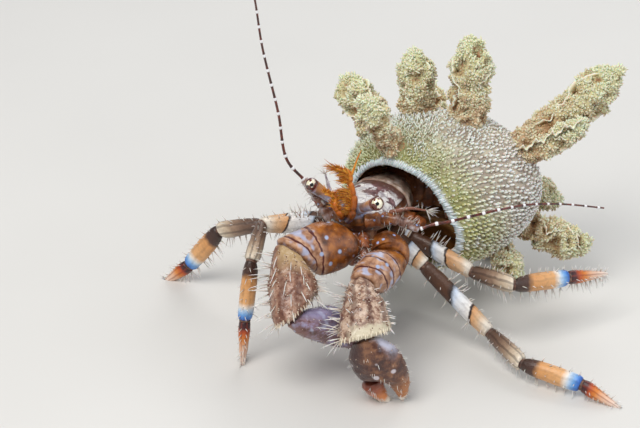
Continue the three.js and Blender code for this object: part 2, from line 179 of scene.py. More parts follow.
def tufts(roots, ways, length, thick, bend, profile, sides, notes, map=None):
    # many small spindles: root + way * length * s + bend * length * s squared, with a point at both ends
    # and none under the floor; the profile gives each ring's s and its share of the thickness
    count = len(roots)
    length, thick = np.broadcast_to(length, count), np.broadcast_to(thick, count)
    first = unit(np.cross(ways, np.where(np.abs(ways[:, 2:]) < 0.8, up, forward)))
    second = np.cross(ways, first)
    circle = np.stack([np.cos(ringAngles(sides)), np.sin(ringAngles(sides))], 1)
    out = first[:, None] * circle[:, :1] + second[:, None] * circle[:, 1:]

    def spine(s):
        line = roots + ways * (length * s)[:, None] + bend * (length * s * abs(s))[:, None]
        return np.maximum(line, (-np.inf, -np.inf, 0.08))

    levels = [spine(s)[:, None] + out * (thick * r)[:, None, None] for s, r in profile]
    at = np.concatenate([spine(-0.12)[:, None], *levels, spine(1.0)[:, None]], 1)
    each = at.shape[1]
    share = np.concatenate([[0], np.repeat([s for s, _ in profile], sides), [1]])
    ring = 1 + np.arange(len(profile) * sides).reshape(-1, sides)
    beside = np.roll(ring, -1, 1)
    tip = np.full(sides, each - 1)
    quads = np.stack([ring[:-1], beside[:-1], beside[1:], ring[1:]], -1).reshape(-1, 4)
    fans = [np.stack([0 * tip, beside[0], ring[0]], 1), np.stack([tip, ring[-1], beside[-1]], 1)]
    base = np.arange(count)[:, None, None] * each
    extra = {name: np.repeat(values, each) for name, values in notes.items()}
    made = {"at": at.reshape(-1, 3), "quads": (quads + base).reshape(-1, 4),
            "tris": (np.vstack(fans) + base).reshape(-1, 3), "paint": 0,
            "notes": {"reach": np.tile(share, count), **extra}}
    if map is not None:  # a small patch at the root's own place on the unwrapped skin
        taper = np.repeat([1 - 0.6 * s for s, _ in profile], sides)[:, None]
        flat = np.vstack([[[0, 0]], np.tile(circle, (len(profile), 1)) * taper, [[0, 0]]])
        made["map"] = (map[:, None] + flat * patchHalf).reshape(-1, 2)
    return made


def onTile(tile, tiles, margin, map):
    # a map moved to its own square of a sheet that is so many tiles across
    return (np.array([tile % tiles, tile // tiles]) + margin + (1 - 2 * margin) * map) / tiles


def makePiece(name, shells, paints, stands=()):
    # stacks the shells in one mesh, with their notes as point attributes and the coat's own map
    starts = np.cumsum([0] + [len(s["at"]) for s in shells])
    quads = np.vstack([s["quads"] + start for s, start in zip(shells, starts)])
    tris = np.vstack([s["tris"] + start for s, start in zip(shells, starts)])
    at = np.vstack([s["at"] for s in shells])
    corners = np.concatenate([quads.ravel(), tris.ravel()])
    mesh = bpy.data.meshes.new(name)
    mesh.vertices.add(len(at))
    mesh.vertices.foreach_set("co", toFrame(at).astype(np.float32).ravel())
    mesh.loops.add(len(corners))
    mesh.loops.foreach_set("vertex_index", corners.astype(np.int32))
    mesh.polygons.add(len(quads) + len(tris))
    begins = np.concatenate([np.arange(len(quads)) * 4, len(quads) * 4 + np.arange(len(tris)) * 3])
    mesh.polygons.foreach_set("loop_start", begins.astype(np.int32))
    paint = [s["paint"] for s in shells]
    chosen = [np.repeat(paint, [len(s[kind]) for s in shells]) for kind in ("quads", "tris")]
    mesh.polygons.foreach_set("material_index", np.concatenate(chosen).astype(np.int32))
    mesh.update(calc_edges=True)
    mesh.shade_smooth()
    for note in sorted({note for s in shells for note in s["notes"]}):
        values = np.concatenate([s["notes"].get(note, np.zeros(len(s["at"]))) for s in shells])
        mesh.attributes.new(note, "FLOAT", "POINT").data.foreach_set("value", values.astype(np.float32))
    if "map" in shells[0]:
        flat = np.vstack([s["map"] for s in shells])[corners]
        mesh.uv_layers.new(name="OFBake").uv.foreach_set("vector", flat.astype(np.float32).ravel())
    for paint in paints:
        mesh.materials.append(paint)
    made = bpy.data.objects.new(name, mesh)
    bpy.context.scene.collection.objects.link(made)
    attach(made, "root")
    if stands:
        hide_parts(*stands)
    print(name, len(quads) * 2 + len(tris), "triangles")


# Paint: small helpers that join nodes

def tint(code):
    # a screen colour such as "c8b890" as the linear colour that shaders use
    part = [int(code[i:i + 2], 16) / 255 for i in (0, 2, 4)]
    return [*(c / 12.92 if c <= 0.04045 else ((c + 0.055) / 1.055) ** 2.4 for c in part), 1.0]


class Paint:
    # one material on a Principled shader; a word given as a value is the piece's own note of that name
    def __init__(self, name, **sockets):
        self.material = bpy.data.materials.new(name)
        self.material.use_nodes = True
        self.tree = self.material.node_tree
        self.shader = self.tree.nodes["Principled BSDF"]
        for socket, value in sockets.items():
            self.shader.inputs[socket.replace("_", " ")].default_value = value
        self.place = self.tree.nodes.new("ShaderNodeTexCoord").outputs["Object"]

    def add(self, kind, inputs, **settings):
        node = self.tree.nodes.new(kind)
        for key, value in settings.items():
            setattr(node, key, value)
        for key, value in inputs.items():
            if isinstance(value, str):
                value = self.add("ShaderNodeAttribute", {}, attribute_name=value).outputs["Fac"]
            if isinstance(value, bpy.types.NodeSocket):
                self.tree.links.new(value, node.inputs[key])
            else:
                node.inputs[key].default_value = value
        return node

    def math(self, operation, a, b=0.0):
        return self.add("ShaderNodeMath", {0: a, 1: b}, operation=operation).outputs[0]

    def plus(self, a, b):
        return self.math("ADD", a, b)

    def times(self, a, b):
        return self.math("MULTIPLY", a, b)

    def apart(self, a, b):
        # how far two values are from each other
        return self.math("ABSOLUTE", self.math("SUBTRACT", a, b))

    def between(self, value, start, end):
        # 0 at start and 1 at end
        inputs = {"Value": value, "From Min": start, "From Max": end}
        return self.add("ShaderNodeMapRange", inputs, interpolation_type="SMOOTHSTEP").outputs[0]

    def noise(self, size, detail=3.0, rough=0.55, stretch=(1, 1, 1)):
        # cloudy noise whose lumps are about "size" millimetres
        mapped = self.add("ShaderNodeMapping", {"Vector": self.place, "Scale": stretch})
        inputs = {"Vector": mapped.outputs[0], "Scale": 1000 / size, "Detail": detail, "Roughness": rough}
        return self.add("ShaderNodeTexNoise", inputs).outputs["Fac"]

    def stirred(self, value, size, amount, detail=3.0, middle=0.0):
        # a value, plus the noise over its middle times an amount
        return self.plus(value, self.times(self.math("SUBTRACT", self.noise(size, detail), middle), amount))

    def cells(self, size, feature="F1"):
        # distance to the nearest of many scattered points, about "size" millimetres apart
        inputs = {"Vector": self.place, "Scale": 1000 / size}
        return self.add("ShaderNodeTexVoronoi", inputs, feature=feature).outputs["Distance"]

    def ramp(self, value, stops):
        # the colour at a value, blended between the nearest stops
        node = self.add("ShaderNodeValToRGB", {"Fac": value})
        marks = node.color_ramp.elements
        while len(marks) < len(stops):
            marks.new(0.5)
        for mark, (place, code) in zip(marks, stops):
            mark.position, mark.color = place, tint(code)
        return node.outputs["Color"]

    def clouds(self, stops, size, detail=3.0, rough=0.55):
        # colours clouded by noise
        return self.ramp(self.noise(size, detail, rough), stops)

    def mix(self, share, tone, other):
        # the other colour over the tone, by its share
        tone, other = (tint(colour) if isinstance(colour, str) else colour for colour in (tone, other))
        return self.add("ShaderNodeMix", {0: share, 6: tone, 7: other}, data_type="RGBA").outputs[2]

    def turned(self, tone, value, start, end, other):
        # the tone, turning to another as a value goes from start to end
        return self.mix(self.between(value, start, end), tone, other)

    def lined(self, tone, ink, share, lines, wander, start):
        # wavy lines along a limb: the sine of its angle times a number of lines, moved by noise
        turn = self.math("ARCTAN2", "top", "side")
        size, amount = wander
        wave = self.math("SINE", self.stirred(self.times(turn, lines), size, amount))
        return self.mix(self.times(self.between(wave, start, 0.9), share), tone, ink)

    def finish(self, colour, height=None, depth=0.05, rough=None):
        # colour, a bump "depth" millimetres deep, and roughness where it varies
        self.tree.links.new(colour, self.shader.inputs["Base Color"])
        if height is not None:
            bump = self.add("ShaderNodeBump", {"Height": height, "Distance": depth * 0.001})
            self.tree.links.new(bump.outputs[0], self.shader.inputs["Normal"])
        if rough is not None:
            self.tree.links.new(rough, self.shader.inputs["Roughness"])
        return self.material


# The colony: a hollow dome with an arched mouth and knobbly arms

dome = {
    "centre": np.array([12.4, 12.6, 12.2]),
    "radii": np.array([11.1, 8.8, 8.1]),
    "back": unit(np.array([0.62, 0.77, 0.12])),
    "mouth": [(6.8, 8, 17.3), (10.7, 5.9, 16.2), (12.9, 4.6, 13.4), (14.3, 4.4, 9.6), (12.6, 5.6, 6.2),
              (7.6, 8.8, 4.9), (2.6, 11.4, 7.4), (2.9, 11.2, 12.2), (4.2, 10, 15.5)],
    "lip": [(0.02, -0.9), (-0.004, -0.82), (-0.014, -0.62), (-0.006, -0.42), (0.018, -0.36)],
    "wall": (1.0, 4.2),
    "coat": 0.38,  # how far the skin lies inside the solid
    "voxel": 0.2,
    "smoothing": 3,
}
arms = {
    "front_left": {"from": (8.2, 9.6, 17.4), "to": (4.4, 7.4, 24.8), "thick": 1.6},
    "back_left": {"from": (8.2, 14.2, 14.8), "to": (2.8, 17.2, 22.6), "thick": 2.3},
    "top_left": {"from": (10.4, 15.4, 17.2), "to": (9.9, 16.2, 25.7), "thick": 2.15},
    "top": {"from": (15.2, 13.2, 17.0), "to": (15.7, 14.0, 28.3), "thick": 2.4},
    "right": {"from": (19.4, 12.8, 15.0), "to": (31.0, 15.0, 24.6), "thick": 2.5},
    "fork": {"from": (20.6, 11.6, 16.0), "to": (27.2, 10.3, 20.5), "thick": 1.45},
    "right_back": {"from": (19.6, 16.6, 12.0), "to": (26.0, 20.4, 6.2), "thick": 1.8},
    "low_right": {"from": (18.8, 12.0, 9.8), "to": (28.6, 12.4, 4.7), "thick": 2.0},
    "under": {"from": (17.2, 10.6, 8.2), "to": (20.9, 7.6, 3.8), "thick": 1.7},
    "foot_left": {"from": (9.4, 15.6, 8.4), "to": (6.8, 19.0, -0.6), "thick": 1.9},
    "foot_right": {"from": (17.2, 17.4, 7.4), "to": (20.4, 20.2, -0.6), "thick": 1.9},
    "back": {"from": (13.0, 18.2, 13.4), "to": (11.6, 26.4, 17.6), "thick": 2.1},
}
armProfile = (1.1, 1, 0.88, 0.96, 0.9, 0.98, 0.86, 0.35)
armInset = 0.42  # how far each arm's tube lies inside its solid
armReach = 1.6  # how many of its own radii from its axis a place can be and still belong to an arm
knobs = {"count": 34, "span": (0.2, 0.97), "size": (0.24, 0.4)}
mouthSteps = np.arange(721)
mouthEdge = alongCurve(dome["mouth"], len(mouthSteps), closed=True)


def domePoint(turn, t, grow):
    # swings from the mouth's edge at "turn" towards the far side by the share t, on an oval ball
    turn, t, grow = np.broadcast_arrays(turn, t, grow)
    edge = readOff(mouthEdge, (turn % 1) * mouthSteps[-1], mouthSteps)
    start = (edge - dome["centre"]) / dome["radii"]
    reach = np.linalg.norm(start, axis=-1)
    start = start / reach[..., None]
    angle = np.arccos(np.clip(start @ dome["back"], -1, 1))
    swung = start * np.sin((1 - t) * angle)[..., None] + dome["back"] * np.sin(t * angle)[..., None]
    swung = swung / np.sin(angle)[..., None]
    reach = reach + (1 - reach) * np.minimum(1, 2.5 * t)
    return swung * reach[..., None] * (dome["radii"] + grow[..., None]) + dome["centre"]


def domeFrame(turn, t, grow):
    # a place on the dome, the way out of it, and the way from the mouth towards the far side
    at = domePoint(turn, t, grow)
    beside = domePoint(turn + 0.002, t, grow) - at
    onward = domePoint(turn, t + 0.01, grow) - at
    return at, unit(np.cross(beside, onward)), unit(onward)


def wallAt(t):
    # the wall's thickness, from the lip to its full measure
    return dome["wall"][0] + (dome["wall"][1] - dome["wall"][0]) * np.minimum(1, 1.6 * t)


def armPath(arm, count):
    # from root to tip, with the middle hanging a little
    root, tip = np.array(arm["from"]), np.array(arm["to"])
    middle = (root + tip) / 2 - up * 0.04 * np.linalg.norm(tip - root)
    return alongCurve([root, middle, tip], count)


def armFrame(arm, share, angle):
    # the axis point at a share of the length, the way out at an angle, the way along, and the radius
    stations = np.linspace(0, 1, 60)
    path = armPath(arm, 60)
    spot = readOff(path, share, stations)
    way = unit(readOff(unit(np.gradient(path, axis=0)), share, stations))
    second = unit(up - way * way[..., 2:])
    first = np.cross(second, way)
    out = first * np.cos(angle)[..., None] + second * np.sin(angle)[..., None]
    return spot, out, way, spread(armProfile, share) * arm["thick"]


def armShare(at):
    # for each point: the share along its nearest arm, its distance from that arm's axis over the radius,
    # and which arm it is
    best = np.full(len(at), 1e9)
    share, which = np.zeros(len(at)), np.zeros(len(at), int)
    for number, arm in enumerate(arms.values()):
        gap = np.linalg.norm(at[:, None] - armPath(arm, 40)[None], axis=2)
        near = gap.argmin(1)
        radius = spread(armProfile, near / 39) * arm["thick"]
        ratio = gap[np.arange(len(at)), near] / np.maximum(radius, 0.8)
        closer = ratio < best
        best[closer], share[closer], which[closer] = ratio[closer], near[closer] / 39, number
    return share, best, which


def coarseness(at):
    # 1 on the dome's right flank, where the tubercles are coarse, falling to 0 on its top and left
    return ease(-2.4, 3.2, np.minimum(at[:, 0] - 12.4, 0.9 * (19.9 - at[:, 2])) + 0.9 * grain(at, 2.0, 31))


def creases(at):
    # ridged noise: near 1 along winding crests and below 0 in the hollows between them
    return 1 - np.abs(grain(at, 1.25, 5)) * 1.8 - np.abs(grain(at, 0.55, 6)) * 0.7


def colonyShells(seed=3):
    # the dome's wall, closed round its lip; a rounded tube for each arm; and balls that knob each arm
    innerSteps, outerSteps = np.linspace(0.93, 0.04, 16), np.linspace(0.05, 0.985, 24)
    lipSteps, lipGrow = np.array(dome["lip"]).T
    steps = np.concatenate([innerSteps, lipSteps, outerSteps])
    grow = np.concatenate([-wallAt(innerSteps), lipGrow, np.full(len(outerSteps), -dome["coat"])])
    shells = [shell(domePoint(np.arange(110)[None] / 110, steps[:, None], grow[:, None]))]
    rng = np.random.default_rng(seed)
    count = knobs["count"]
    for arm in arms.values():
        radius = spread(armProfile, np.linspace(0, 1, 26)) * arm["thick"] - armInset
        shells.append(shell(rings(armPath(arm, 26), radius, radius, 18, up)))
        share, angle = rng.uniform(*knobs["span"], count), rng.uniform(0, 2 * math.pi, count)
        spot, out, _, radius = armFrame(arm, share, angle)
        size = rng.uniform(*knobs["size"], count) * arm["thick"]
        centres = spot + out * (radius - 0.2 - size * 0.82)[:, None]
        for centre, knob in zip(centres, size):
            shells.append(shell(ball(centre, up, knob, 1.0, 7, 9, 0.15, forward)))
    return shells


def remeshed(shells, voxel, smoothing):
    # one skin over all the shells, as arrays of places, squares and normals
    starts = np.cumsum([0] + [len(s["at"]) for s in shells])
    faces = [(s[kind] + start).tolist() for s, start in zip(shells, starts) for kind in ("quads", "tris")]
    mesh = bpy.data.meshes.new("rough")
    mesh.from_pydata(np.vstack([s["at"] for s in shells]).tolist(), [], sum(faces, []))
    rough = bpy.data.objects.new("rough", mesh)
    bpy.context.scene.collection.objects.link(rough)
    remesh = rough.modifiers.new("remesh", "REMESH")
    remesh.mode, remesh.voxel_size = "VOXEL", voxel
    soften = rough.modifiers.new("soften", "SMOOTH")
    soften.factor, soften.iterations = 0.5, smoothing
    done = rough.evaluated_get(bpy.context.evaluated_depsgraph_get()).data
    at, normals = np.zeros((2, len(done.vertices) * 3), np.float32)
    corners = np.zeros(len(done.loops), np.int32)
    done.vertices.foreach_get("co", at)
    done.vertex_normals.foreach_get("vector", normals)
    done.loops.foreach_get("vertex_index", corners)
    bpy.data.objects.remove(rough)
    return at.reshape(-1, 3).astype(float), corners.reshape(-1, 4), normals.reshape(-1, 3).astype(float)


def colonySurface():
    # the remeshed skin moved along its normals: creased arms, a grainy dome, and a streaky lining
    at, quads, normals = remeshed(colonyShells(), dome["voxel"], dome["smoothing"])
    radial = np.linalg.norm((at - dome["centre"]) / dome["radii"], axis=1)
    share, ratio, which = armShare(at)
    onArm = ease(0.97, 1.03, radial) * (ratio < armReach)
    parts = [part[:, None] - mouthEdge[::6] for part in np.array_split(at, 40)]
    fromMouth = np.concatenate([np.linalg.norm(part, axis=2).min(1) for part in parts])
    inward = np.einsum("ij,ij->i", normals, unit(dome["centre"] - at))
    lining = ease(0.0, 0.35, inward) * (1 - ease(0.93, 0.99, radial))
    crease = creases(at)
    relief = (onArm * (0.68 * crease - 0.3) + (1 - onArm) * (1 - lining) * 0.07 * grain(at, 0.8, 7)
              + lining * 0.05 * grain(at * (0.5, 0.5, 2), 0.9, 8))
    at = at + normals * relief[:, None]
    at[:, 2] = np.maximum(at[:, 2], 0)
    notes = {"arm": onArm, "lining": lining, "tip": share * onArm, "crease": crease, "low": -normals[:, 2],
             "rim": ease(0.95, 0.35, fromMouth), "coarse": coarseness(at),
             "green": ease(5.5, 0.8, fromMouth + 1.2 * grain(at, 1.8, 9))}
    return {"at": at, "quads": quads, "tris": np.zeros((0, 3), int), "paint": 0, "notes": notes,
            "radial": radial, "ratio": ratio, "which": which}


def colonyPaint():
    # grey-brown ground, green near the mouth and pale at its rim, tan arms with painted shade on their
    # undersides and in their hollows, and a dark streaky lining
    p = Paint("colony_skin", Roughness=0.75, Subsurface_Weight=0.12, Subsurface_Scale=0.0006)
    clouds = p.noise(2.2, 4)
    ground = p.ramp(clouds, [(0.35, "9a8d7a"), (0.5, "b2ab92"), (0.66, "c1bfa0")])
    ground = p.mix("coarse", ground, p.ramp(clouds, [(0.35, "93857a"), (0.5, "aea294"), (0.66, "c2b9a8")]))
    ground = p.mix(p.times("green", 0.85), ground, p.ramp(clouds, [(0.35, "7d7c45"), (0.6, "a8a968")]))
    ground = p.mix("rim", ground, p.clouds([(0.35, "aab6bb"), (0.65, "d9dedd")], 0.4))
    flesh = p.ramp(p.stirred(p.times("tip", 0.6), 1.4, 0.5),
                   [(0.2, "a98262"), (0.45, "c9ac86"), (0.7, "d2ca9c"), (0.95, "dadcb2")])
    # painted shade: the arms darker on their undersides and in the hollows between their crests
    flesh = p.turned(flesh, "low", 0.2, 1.0, "a88660")
    flesh = p.turned(flesh, "crease", 0.3, -0.4, "a8825f")
    streaks = p.noise(1.1, 4, stretch=(0.25, 0.25, 2.2))
    inside = p.ramp(streaks, [(0.3, "3a2211"), (0.5, "6c4520"), (0.68, "bd9460")])
    tone = p.mix("lining", p.mix("arm", ground, flesh), inside)
    roughness = p.math("SUBTRACT", 0.75, p.times("lining", 0.5))
    return p.finish(tone, p.noise(0.25, 4), 0.06, roughness)


skin = colonySurface()
armNodes = ["colony_arm_" + name for name in arms if name != "fork"]
makePiece("colonySkin", [skin], [colonyPaint()], ["colony_dome", *armNodes])


# The colony's coat: tubercles in rows over the dome, ribs round its mouth, soft polyps and frills on the arms

tubercles = {"pitch": 0.6, "rows": 0.52, "span": (0.035, 0.975), "wander": (0.0016, 0.0035), "sink": 0.05,
             "length": 0.66, "thick": 0.155, "lean": 1.1}
down = {"pitch": 0.3, "rows": 0.258, "span": (0.03, 0.98), "wander": (0.002, 0.004), "sink": 0.04,
        "length": 0.42, "thick": 0.075}
rimRibs = {"pitch": 0.21, "length": 0.85, "thick": 0.085}
polyps = {"cell": 0.285, "length": 0.31, "thick": 0.118}
domeMap = {"low": 0.03, "size": 0.94}


def domeRows(pitch, rows, first, last):
    # rows a fixed step apart from the mouth to the far side, each shared out evenly and staggered
    stations = np.linspace(0, 1, 200)
    run = runOf(domePoint(0.28, stations, 0.0))
    turns, steps = [], []
    start, end = np.interp((first, last), stations, run)
    for number, distance in enumerate(np.arange(start, end, rows)):
        t = np.interp(distance, run, stations)
        circle = domePoint(np.arange(120) / 120, t, 0.0)
        count = max(5, int(np.linalg.norm(np.roll(circle, -1, 0) - circle, axis=1).sum() / pitch))
        turns.append((np.arange(count) + 0.5 * (number % 2)) / count)
        steps.append(np.full(count, t))
    return np.concatenate(turns), np.concatenate(steps)


def planted(rng, kind, kept):
    # the rows' places moved a little, on the dome between the arms, thinned by chance and coarseness
    turn, t = domeRows(kind["pitch"], kind["rows"], *kind["span"])
    turn, t = (v + rng.normal(0, wander, len(v)) for v, wander in zip((turn, t), kind["wander"]))
    at, out, onward = domeFrame(turn, t, -dome["coat"] - kind["sink"])
    _, ratio, _ = armShare(at)
    coarse = coarseness(at)
    keep = (ratio > 0.74) & kept(rng.random(len(at)), coarse)
    return [v[keep] for v in (turn, t, at, out, onward, coarse)]


def domeMapAt(turn, t):
    # the dome unrolled: round the mouth across, and from the mouth to the far side up
    return np.stack([turn % 1, t], 1) * domeMap["size"] + domeMap["low"]


def tubercleCoat(rng):
    # blunt cones that lean away from the mouth, largest where the dome is coarse
    turn, t, at, out, onward, coarse = planted(rng, tubercles, lambda chance, coarse: chance < 0.12 + coarse)
    count = len(at)
    size = 0.5 + 0.5 * coarse + rng.normal(0, 0.08, count)
    lean = tubercles["lean"] * (0.55 + 0.45 * coarse) * (0.8 + 0.4 * rng.random(count))
    around = np.cross(out, onward) * rng.normal(0, 0.12, count)[:, None]
    ways = unit(out + onward * lean[:, None] - up * (0.22 * coarse)[:, None] + around)
    notes = {"shade": rng.random(count), "green": 1 - ease(0.05, 0.36, t), "coarse": coarse}
    thick = tubercles["thick"] * (0.8 + 0.2 * size)
    length, profile = tubercles["length"] * size, ((0, 1.1), (0.25, 1.05), (0.55, 0.85), (0.85, 0.5))
    return tufts(at, ways, length, thick, -out * 0.28, profile, 6, notes, domeMapAt(turn, t))


def downCoat(rng):
    # short fine spines between the tubercles, and in their place where the dome is smooth
    turn, t, at, out, onward, coarse = planted(rng, down, lambda chance, coarse: chance > 0.72 * coarse)
    count = len(at)
    ways = unit(out + onward * (0.35 + 0.3 * rng.random(count))[:, None] + rng.normal(0, 0.3, (count, 3)))
    length = down["length"] * (0.75 + 0.5 * rng.random(count)) * (1 - 0.45 * coarse)
    notes = {"shade": rng.random(count), "green": 1 - ease(0.05, 0.36, t), "coarse": coarse}
    thick = down["thick"] * (0.8 + 0.5 * rng.random(count))
    bend, profile = rng.normal(0, 0.25, (count, 3)), ((0, 1.0), (0.5, 0.85), (0.88, 0.6))
    return tufts(at, ways, length, thick, bend, profile, 5, notes, domeMapAt(turn, t))


def rimCoat(rng):
    # pale ribs laid side by side round the mouth's edge
    count = int(runOf(mouthEdge)[-1] / rimRibs["pitch"])
    turn = (np.arange(count) + rng.uniform(-0.3, 0.3, count)) / count
    at, out, onward = domeFrame(turn, rng.uniform(-0.012, 0.002, count), -0.46)
    length = rimRibs["length"] * (0.65 + 0.6 * rng.random(count))
    notes = {"shade": rng.random(count), "green": np.zeros(count), "coarse": np.full(count, 2.0)}
    ways = unit(out * 0.4 + onward + rng.normal(0, 0.07, (count, 3)))
    thick = rimRibs["thick"] * (0.75 + 0.6 * rng.random(count))
    profile, map = ((0, 0.8), (0.25, 1.1), (0.6, 1.0), (0.9, 0.75)), domeMapAt(turn, np.full(count, 0.004))
    return tufts(at, ways, length, thick, -out * 0.3, profile, 5, notes, map)


def scattered(at, quads, weight, cell, rng):
    # random places on the squares by area and weight, thinned to one in each cubic cell
    a, b, c, d = (at[quads[:, k]] for k in range(4))
    normal = np.cross(c - a, d - b)
    area = np.linalg.norm(normal, axis=1) * weight[quads].mean(1)
    pick = rng.choice(len(quads), int(3.2 * area.sum() / cell**2), p=area / area.sum())
    u, v = rng.random((2, len(pick), 1))
    spot = a[pick] * (1 - u) * (1 - v) + b[pick] * u * (1 - v) + c[pick] * u * v + d[pick] * (1 - u) * v
    first = np.sort(np.unique(np.floor(spot / cell).astype(int), axis=0, return_index=True)[1])
    return spot[first], unit(normal[pick])[first]


def armMapAt(at, share, which):
    # each arm unrolled on its own tile of a 4 by 3 sheet: round it across, and root to tip up
    angle = np.zeros(len(at))
    for number, arm in enumerate(arms.values()):
        mine = which == number
        zeros = np.zeros(mine.sum())
        spot, first, _, _ = armFrame(arm, share[mine], zeros)
        _, second, _, _ = armFrame(arm, share[mine], zeros + math.pi / 2)
        gap = at[mine] - spot
        angle[mine] = np.arctan2((gap * second).sum(1), (gap * first).sum(1)) / (2 * math.pi) + 0.5
    return np.stack([(which % 4 + 0.04 + 0.92 * angle) / 4, (which // 4 + 0.04 + 0.92 * share) / 3], 1)


def armCoat(chosen, seed=23):
    # short blunt polyps over the arms, standing out and a little towards the tip
    rng = np.random.default_rng(seed)
    at = skin["at"]
    wanted = ease(0.968, 0.985, skin["radial"]) * (skin["ratio"] < armReach) * (at[:, 2] > 0.35)
    wanted = wanted * np.isin(skin["which"], chosen)
    spot, way = scattered(at, skin["quads"], wanted, polyps["cell"], np.random.default_rng(seed))
    share, _, mine = armShare(spot)
    crest = creases(spot)
    keep = np.isin(mine, chosen) & (rng.random(len(spot)) < 0.6 + 0.7 * ease(-0.1, 0.5, crest))
    spot, way, share, mine, crest = (v[keep] for v in (spot, way, share, mine, crest))
    count = len(spot)
    onward = unit(np.array([np.subtract(arm["to"], arm["from"]) for arm in arms.values()]))[mine]
    ways = unit(way + onward * 0.25 + rng.normal(0, 0.16, (count, 3)))
    ways[:, 2] = np.where(spot[:, 2] < 0.8, np.abs(ways[:, 2]), ways[:, 2])
    length = polyps["length"] * (0.6 + 0.6 * rng.random(count)) * (0.75 + 0.4 * share)
    length = length * (0.55 + 0.6 * ease(-0.2, 0.6, crest))
    notes = {"shade": rng.random(count), "tip": share, "low": -way[:, 2], "crease": crest}
    thick = polyps["thick"] * (0.75 + 0.6 * rng.random(count))
    bend = rng.normal(0, 0.2, (count, 3))
    profile = ((0, 1.1), (0.4, 1.0), (0.8, 0.7))
    return tufts(spot - way * 0.03, ways, length, thick, bend, profile, 4, notes, armMapAt(spot, share, mine))


frills = {"each": 3, "start": (0.3, 0.45), "end": (0.88, 0.97), "sink": 0.75, "swing": 0.3, "half": 0.11}
flap = {"path": [(20.2, 11.2, 16.9), (22.3, 10.8, 18.1), (24.6, 10.3, 19.7), (27.0, 10.1, 21.0)],
        "waves": 4.5, "swing": 0.34, "wide": 1.15, "thick": 0.13, "out": unit(np.array([0.1, -0.85, 0.5]))}


def ribbon(base, edge, half, taper, tip, pale=1.0):
    # a thin four-sided strip from its base line to its edge line, noting its edge and its place on the arm
    ring = np.stack([base - half, edge - half * taper, edge + half * taper, base + half], 1)
    ring[..., 2] = np.maximum(ring[..., 2], 0.02)
    return shell(ring, {"edge": np.array([0, pale, pale, 0]), "tip": tip})


def armFrills(seed=17):
    # wavy ribbons along the arms: an edge that swings to and fro round the arm as it runs out
    rng = np.random.default_rng(seed)
    shells = []
    for number, arm in enumerate(arms.values()):
        for frill in range(frills["each"]):
            share = np.linspace(rng.uniform(*frills["start"]), rng.uniform(*frills["end"]), 90)
            waves = 5 + 4 * rng.random()
            tall = 0.12 * rng.random()
            angle = 2 * math.pi * (frill / frills["each"] + 0.13 * number)
            angle = angle + 0.5 * np.sin(share * waves * 1.7 + number) + 1.1 * share
            spot, out, way, radius = armFrame(arm, share, angle)
            side = np.cross(way, out)
            swing = np.sin(share * waves * 2 * math.pi) + 0.5 * np.sin(share * waves * 5.3 * math.pi + frill)
            ends = ease(0, 0.1, share - share[0]) * ease(0, 0.1, share[-1] - share)
            base = spot + out * (radius - frills["sink"])[:, None]
            edge = base + out * (0.3 + (0.34 + tall) * ends)[:, None]
            edge = edge + side * (frills["swing"] * swing * ends)[:, None]
            shells.append(ribbon(base, edge, side * frills["half"], 0.5, share[:, None]))
    path = alongCurve(flap["path"], 200)
    run = np.linspace(0, 1, 200)
    ends = ease(0, 0.06, run) * ease(1.0, 0.93, run)
    waves = run * flap["waves"]
    swing = np.sin(waves * 2 * math.pi) + 0.45 * np.sin(waves * 5.1 * math.pi + 1)
    edge = path + (flap["out"] * flap["wide"] + up * flap["swing"] * swing[:, None]) * ends[:, None]
    return [*shells, ribbon(path, edge, up * flap["thick"], 0.7, 0.8, 1.3)]


def tuberclePaint():
    # dark roots and pale tips, greener near the mouth and whiter round it
    p = Paint("colony_tubercle", Roughness=0.5, Subsurface_Weight=0.15, Subsurface_Scale=0.0005)
    height = p.plus("reach", p.times("shade", 0.25))
    tone = p.ramp(height, [(0.05, "8f8672"), (0.4, "c0beaa"), (0.75, "dfe2da"), (1.1, "eef1f0")])
    coarse = p.ramp(height, [(0.05, "93857a"), (0.3, "b9afa3"), (0.65, "dfdfda"), (1.1, "f4f6f6")])
    fresh = p.ramp(height, [(0.0, "7d7b42"), (0.45, "aeae6e"), (1.0, "dde1bd")])
    rim = p.ramp("reach", [(0.0, "a7b3b8"), (0.6, "dfe6ea")])
    tone = p.mix("coarse", tone, coarse)
    tone = p.mix(p.times("green", p.between(p.noise(2.0), 0.3, 0.55)), tone, fresh)
    return p.finish(p.turned(tone, "coarse", 1.4, 1.8, rim), p.noise(0.12), 0.02)


def polypPaint():
    # painted shade and highlight: orange-brown in the creases and towards each root, cream on the crests;
    # painted shade on the undersides; greener towards an arm's tip
    p = Paint("colony_polyp", Roughness=0.6, Subsurface_Weight=0.2, Subsurface_Scale=0.0006)
    depth = p.stirred(p.times("tip", 0.55), 1.6, 0.5)
    # painted shade for the creases and painted highlight for the crests
    shadedStem = p.ramp(depth, [(0.25, "a5794f"), (0.5, "bd9a70"), (0.8, "c2bf96")])
    crown = p.ramp(depth, [(0.25, "d6c3a2"), (0.5, "e2dcc0"), (0.8, "e4e5c9")])
    tone = p.turned(shadedStem, p.plus(p.times("reach", 0.3), p.times("crease", 0.95)), 0.0, 0.95, crown)
    # painted shade: darker brown under the downward-facing polyps
    tone = p.mix(p.times(p.between("low", 0.2, 1.0), 0.6), tone, "a3815c")
    return p.finish(tone, p.noise(0.12), 0.02)


def frillPaint():
    # tan strips with a cream edge
    p = Paint("colony_frill", Roughness=0.6, Subsurface_Weight=0.2, Subsurface_Scale=0.0006)
    tone = p.turned(p.ramp("tip", [(0.2, "b08a64"), (0.9, "cbc49a")]), "edge", 0.45, 1.0, "ebe9d4")
    return p.finish(tone, p.noise(0.15), 0.02)


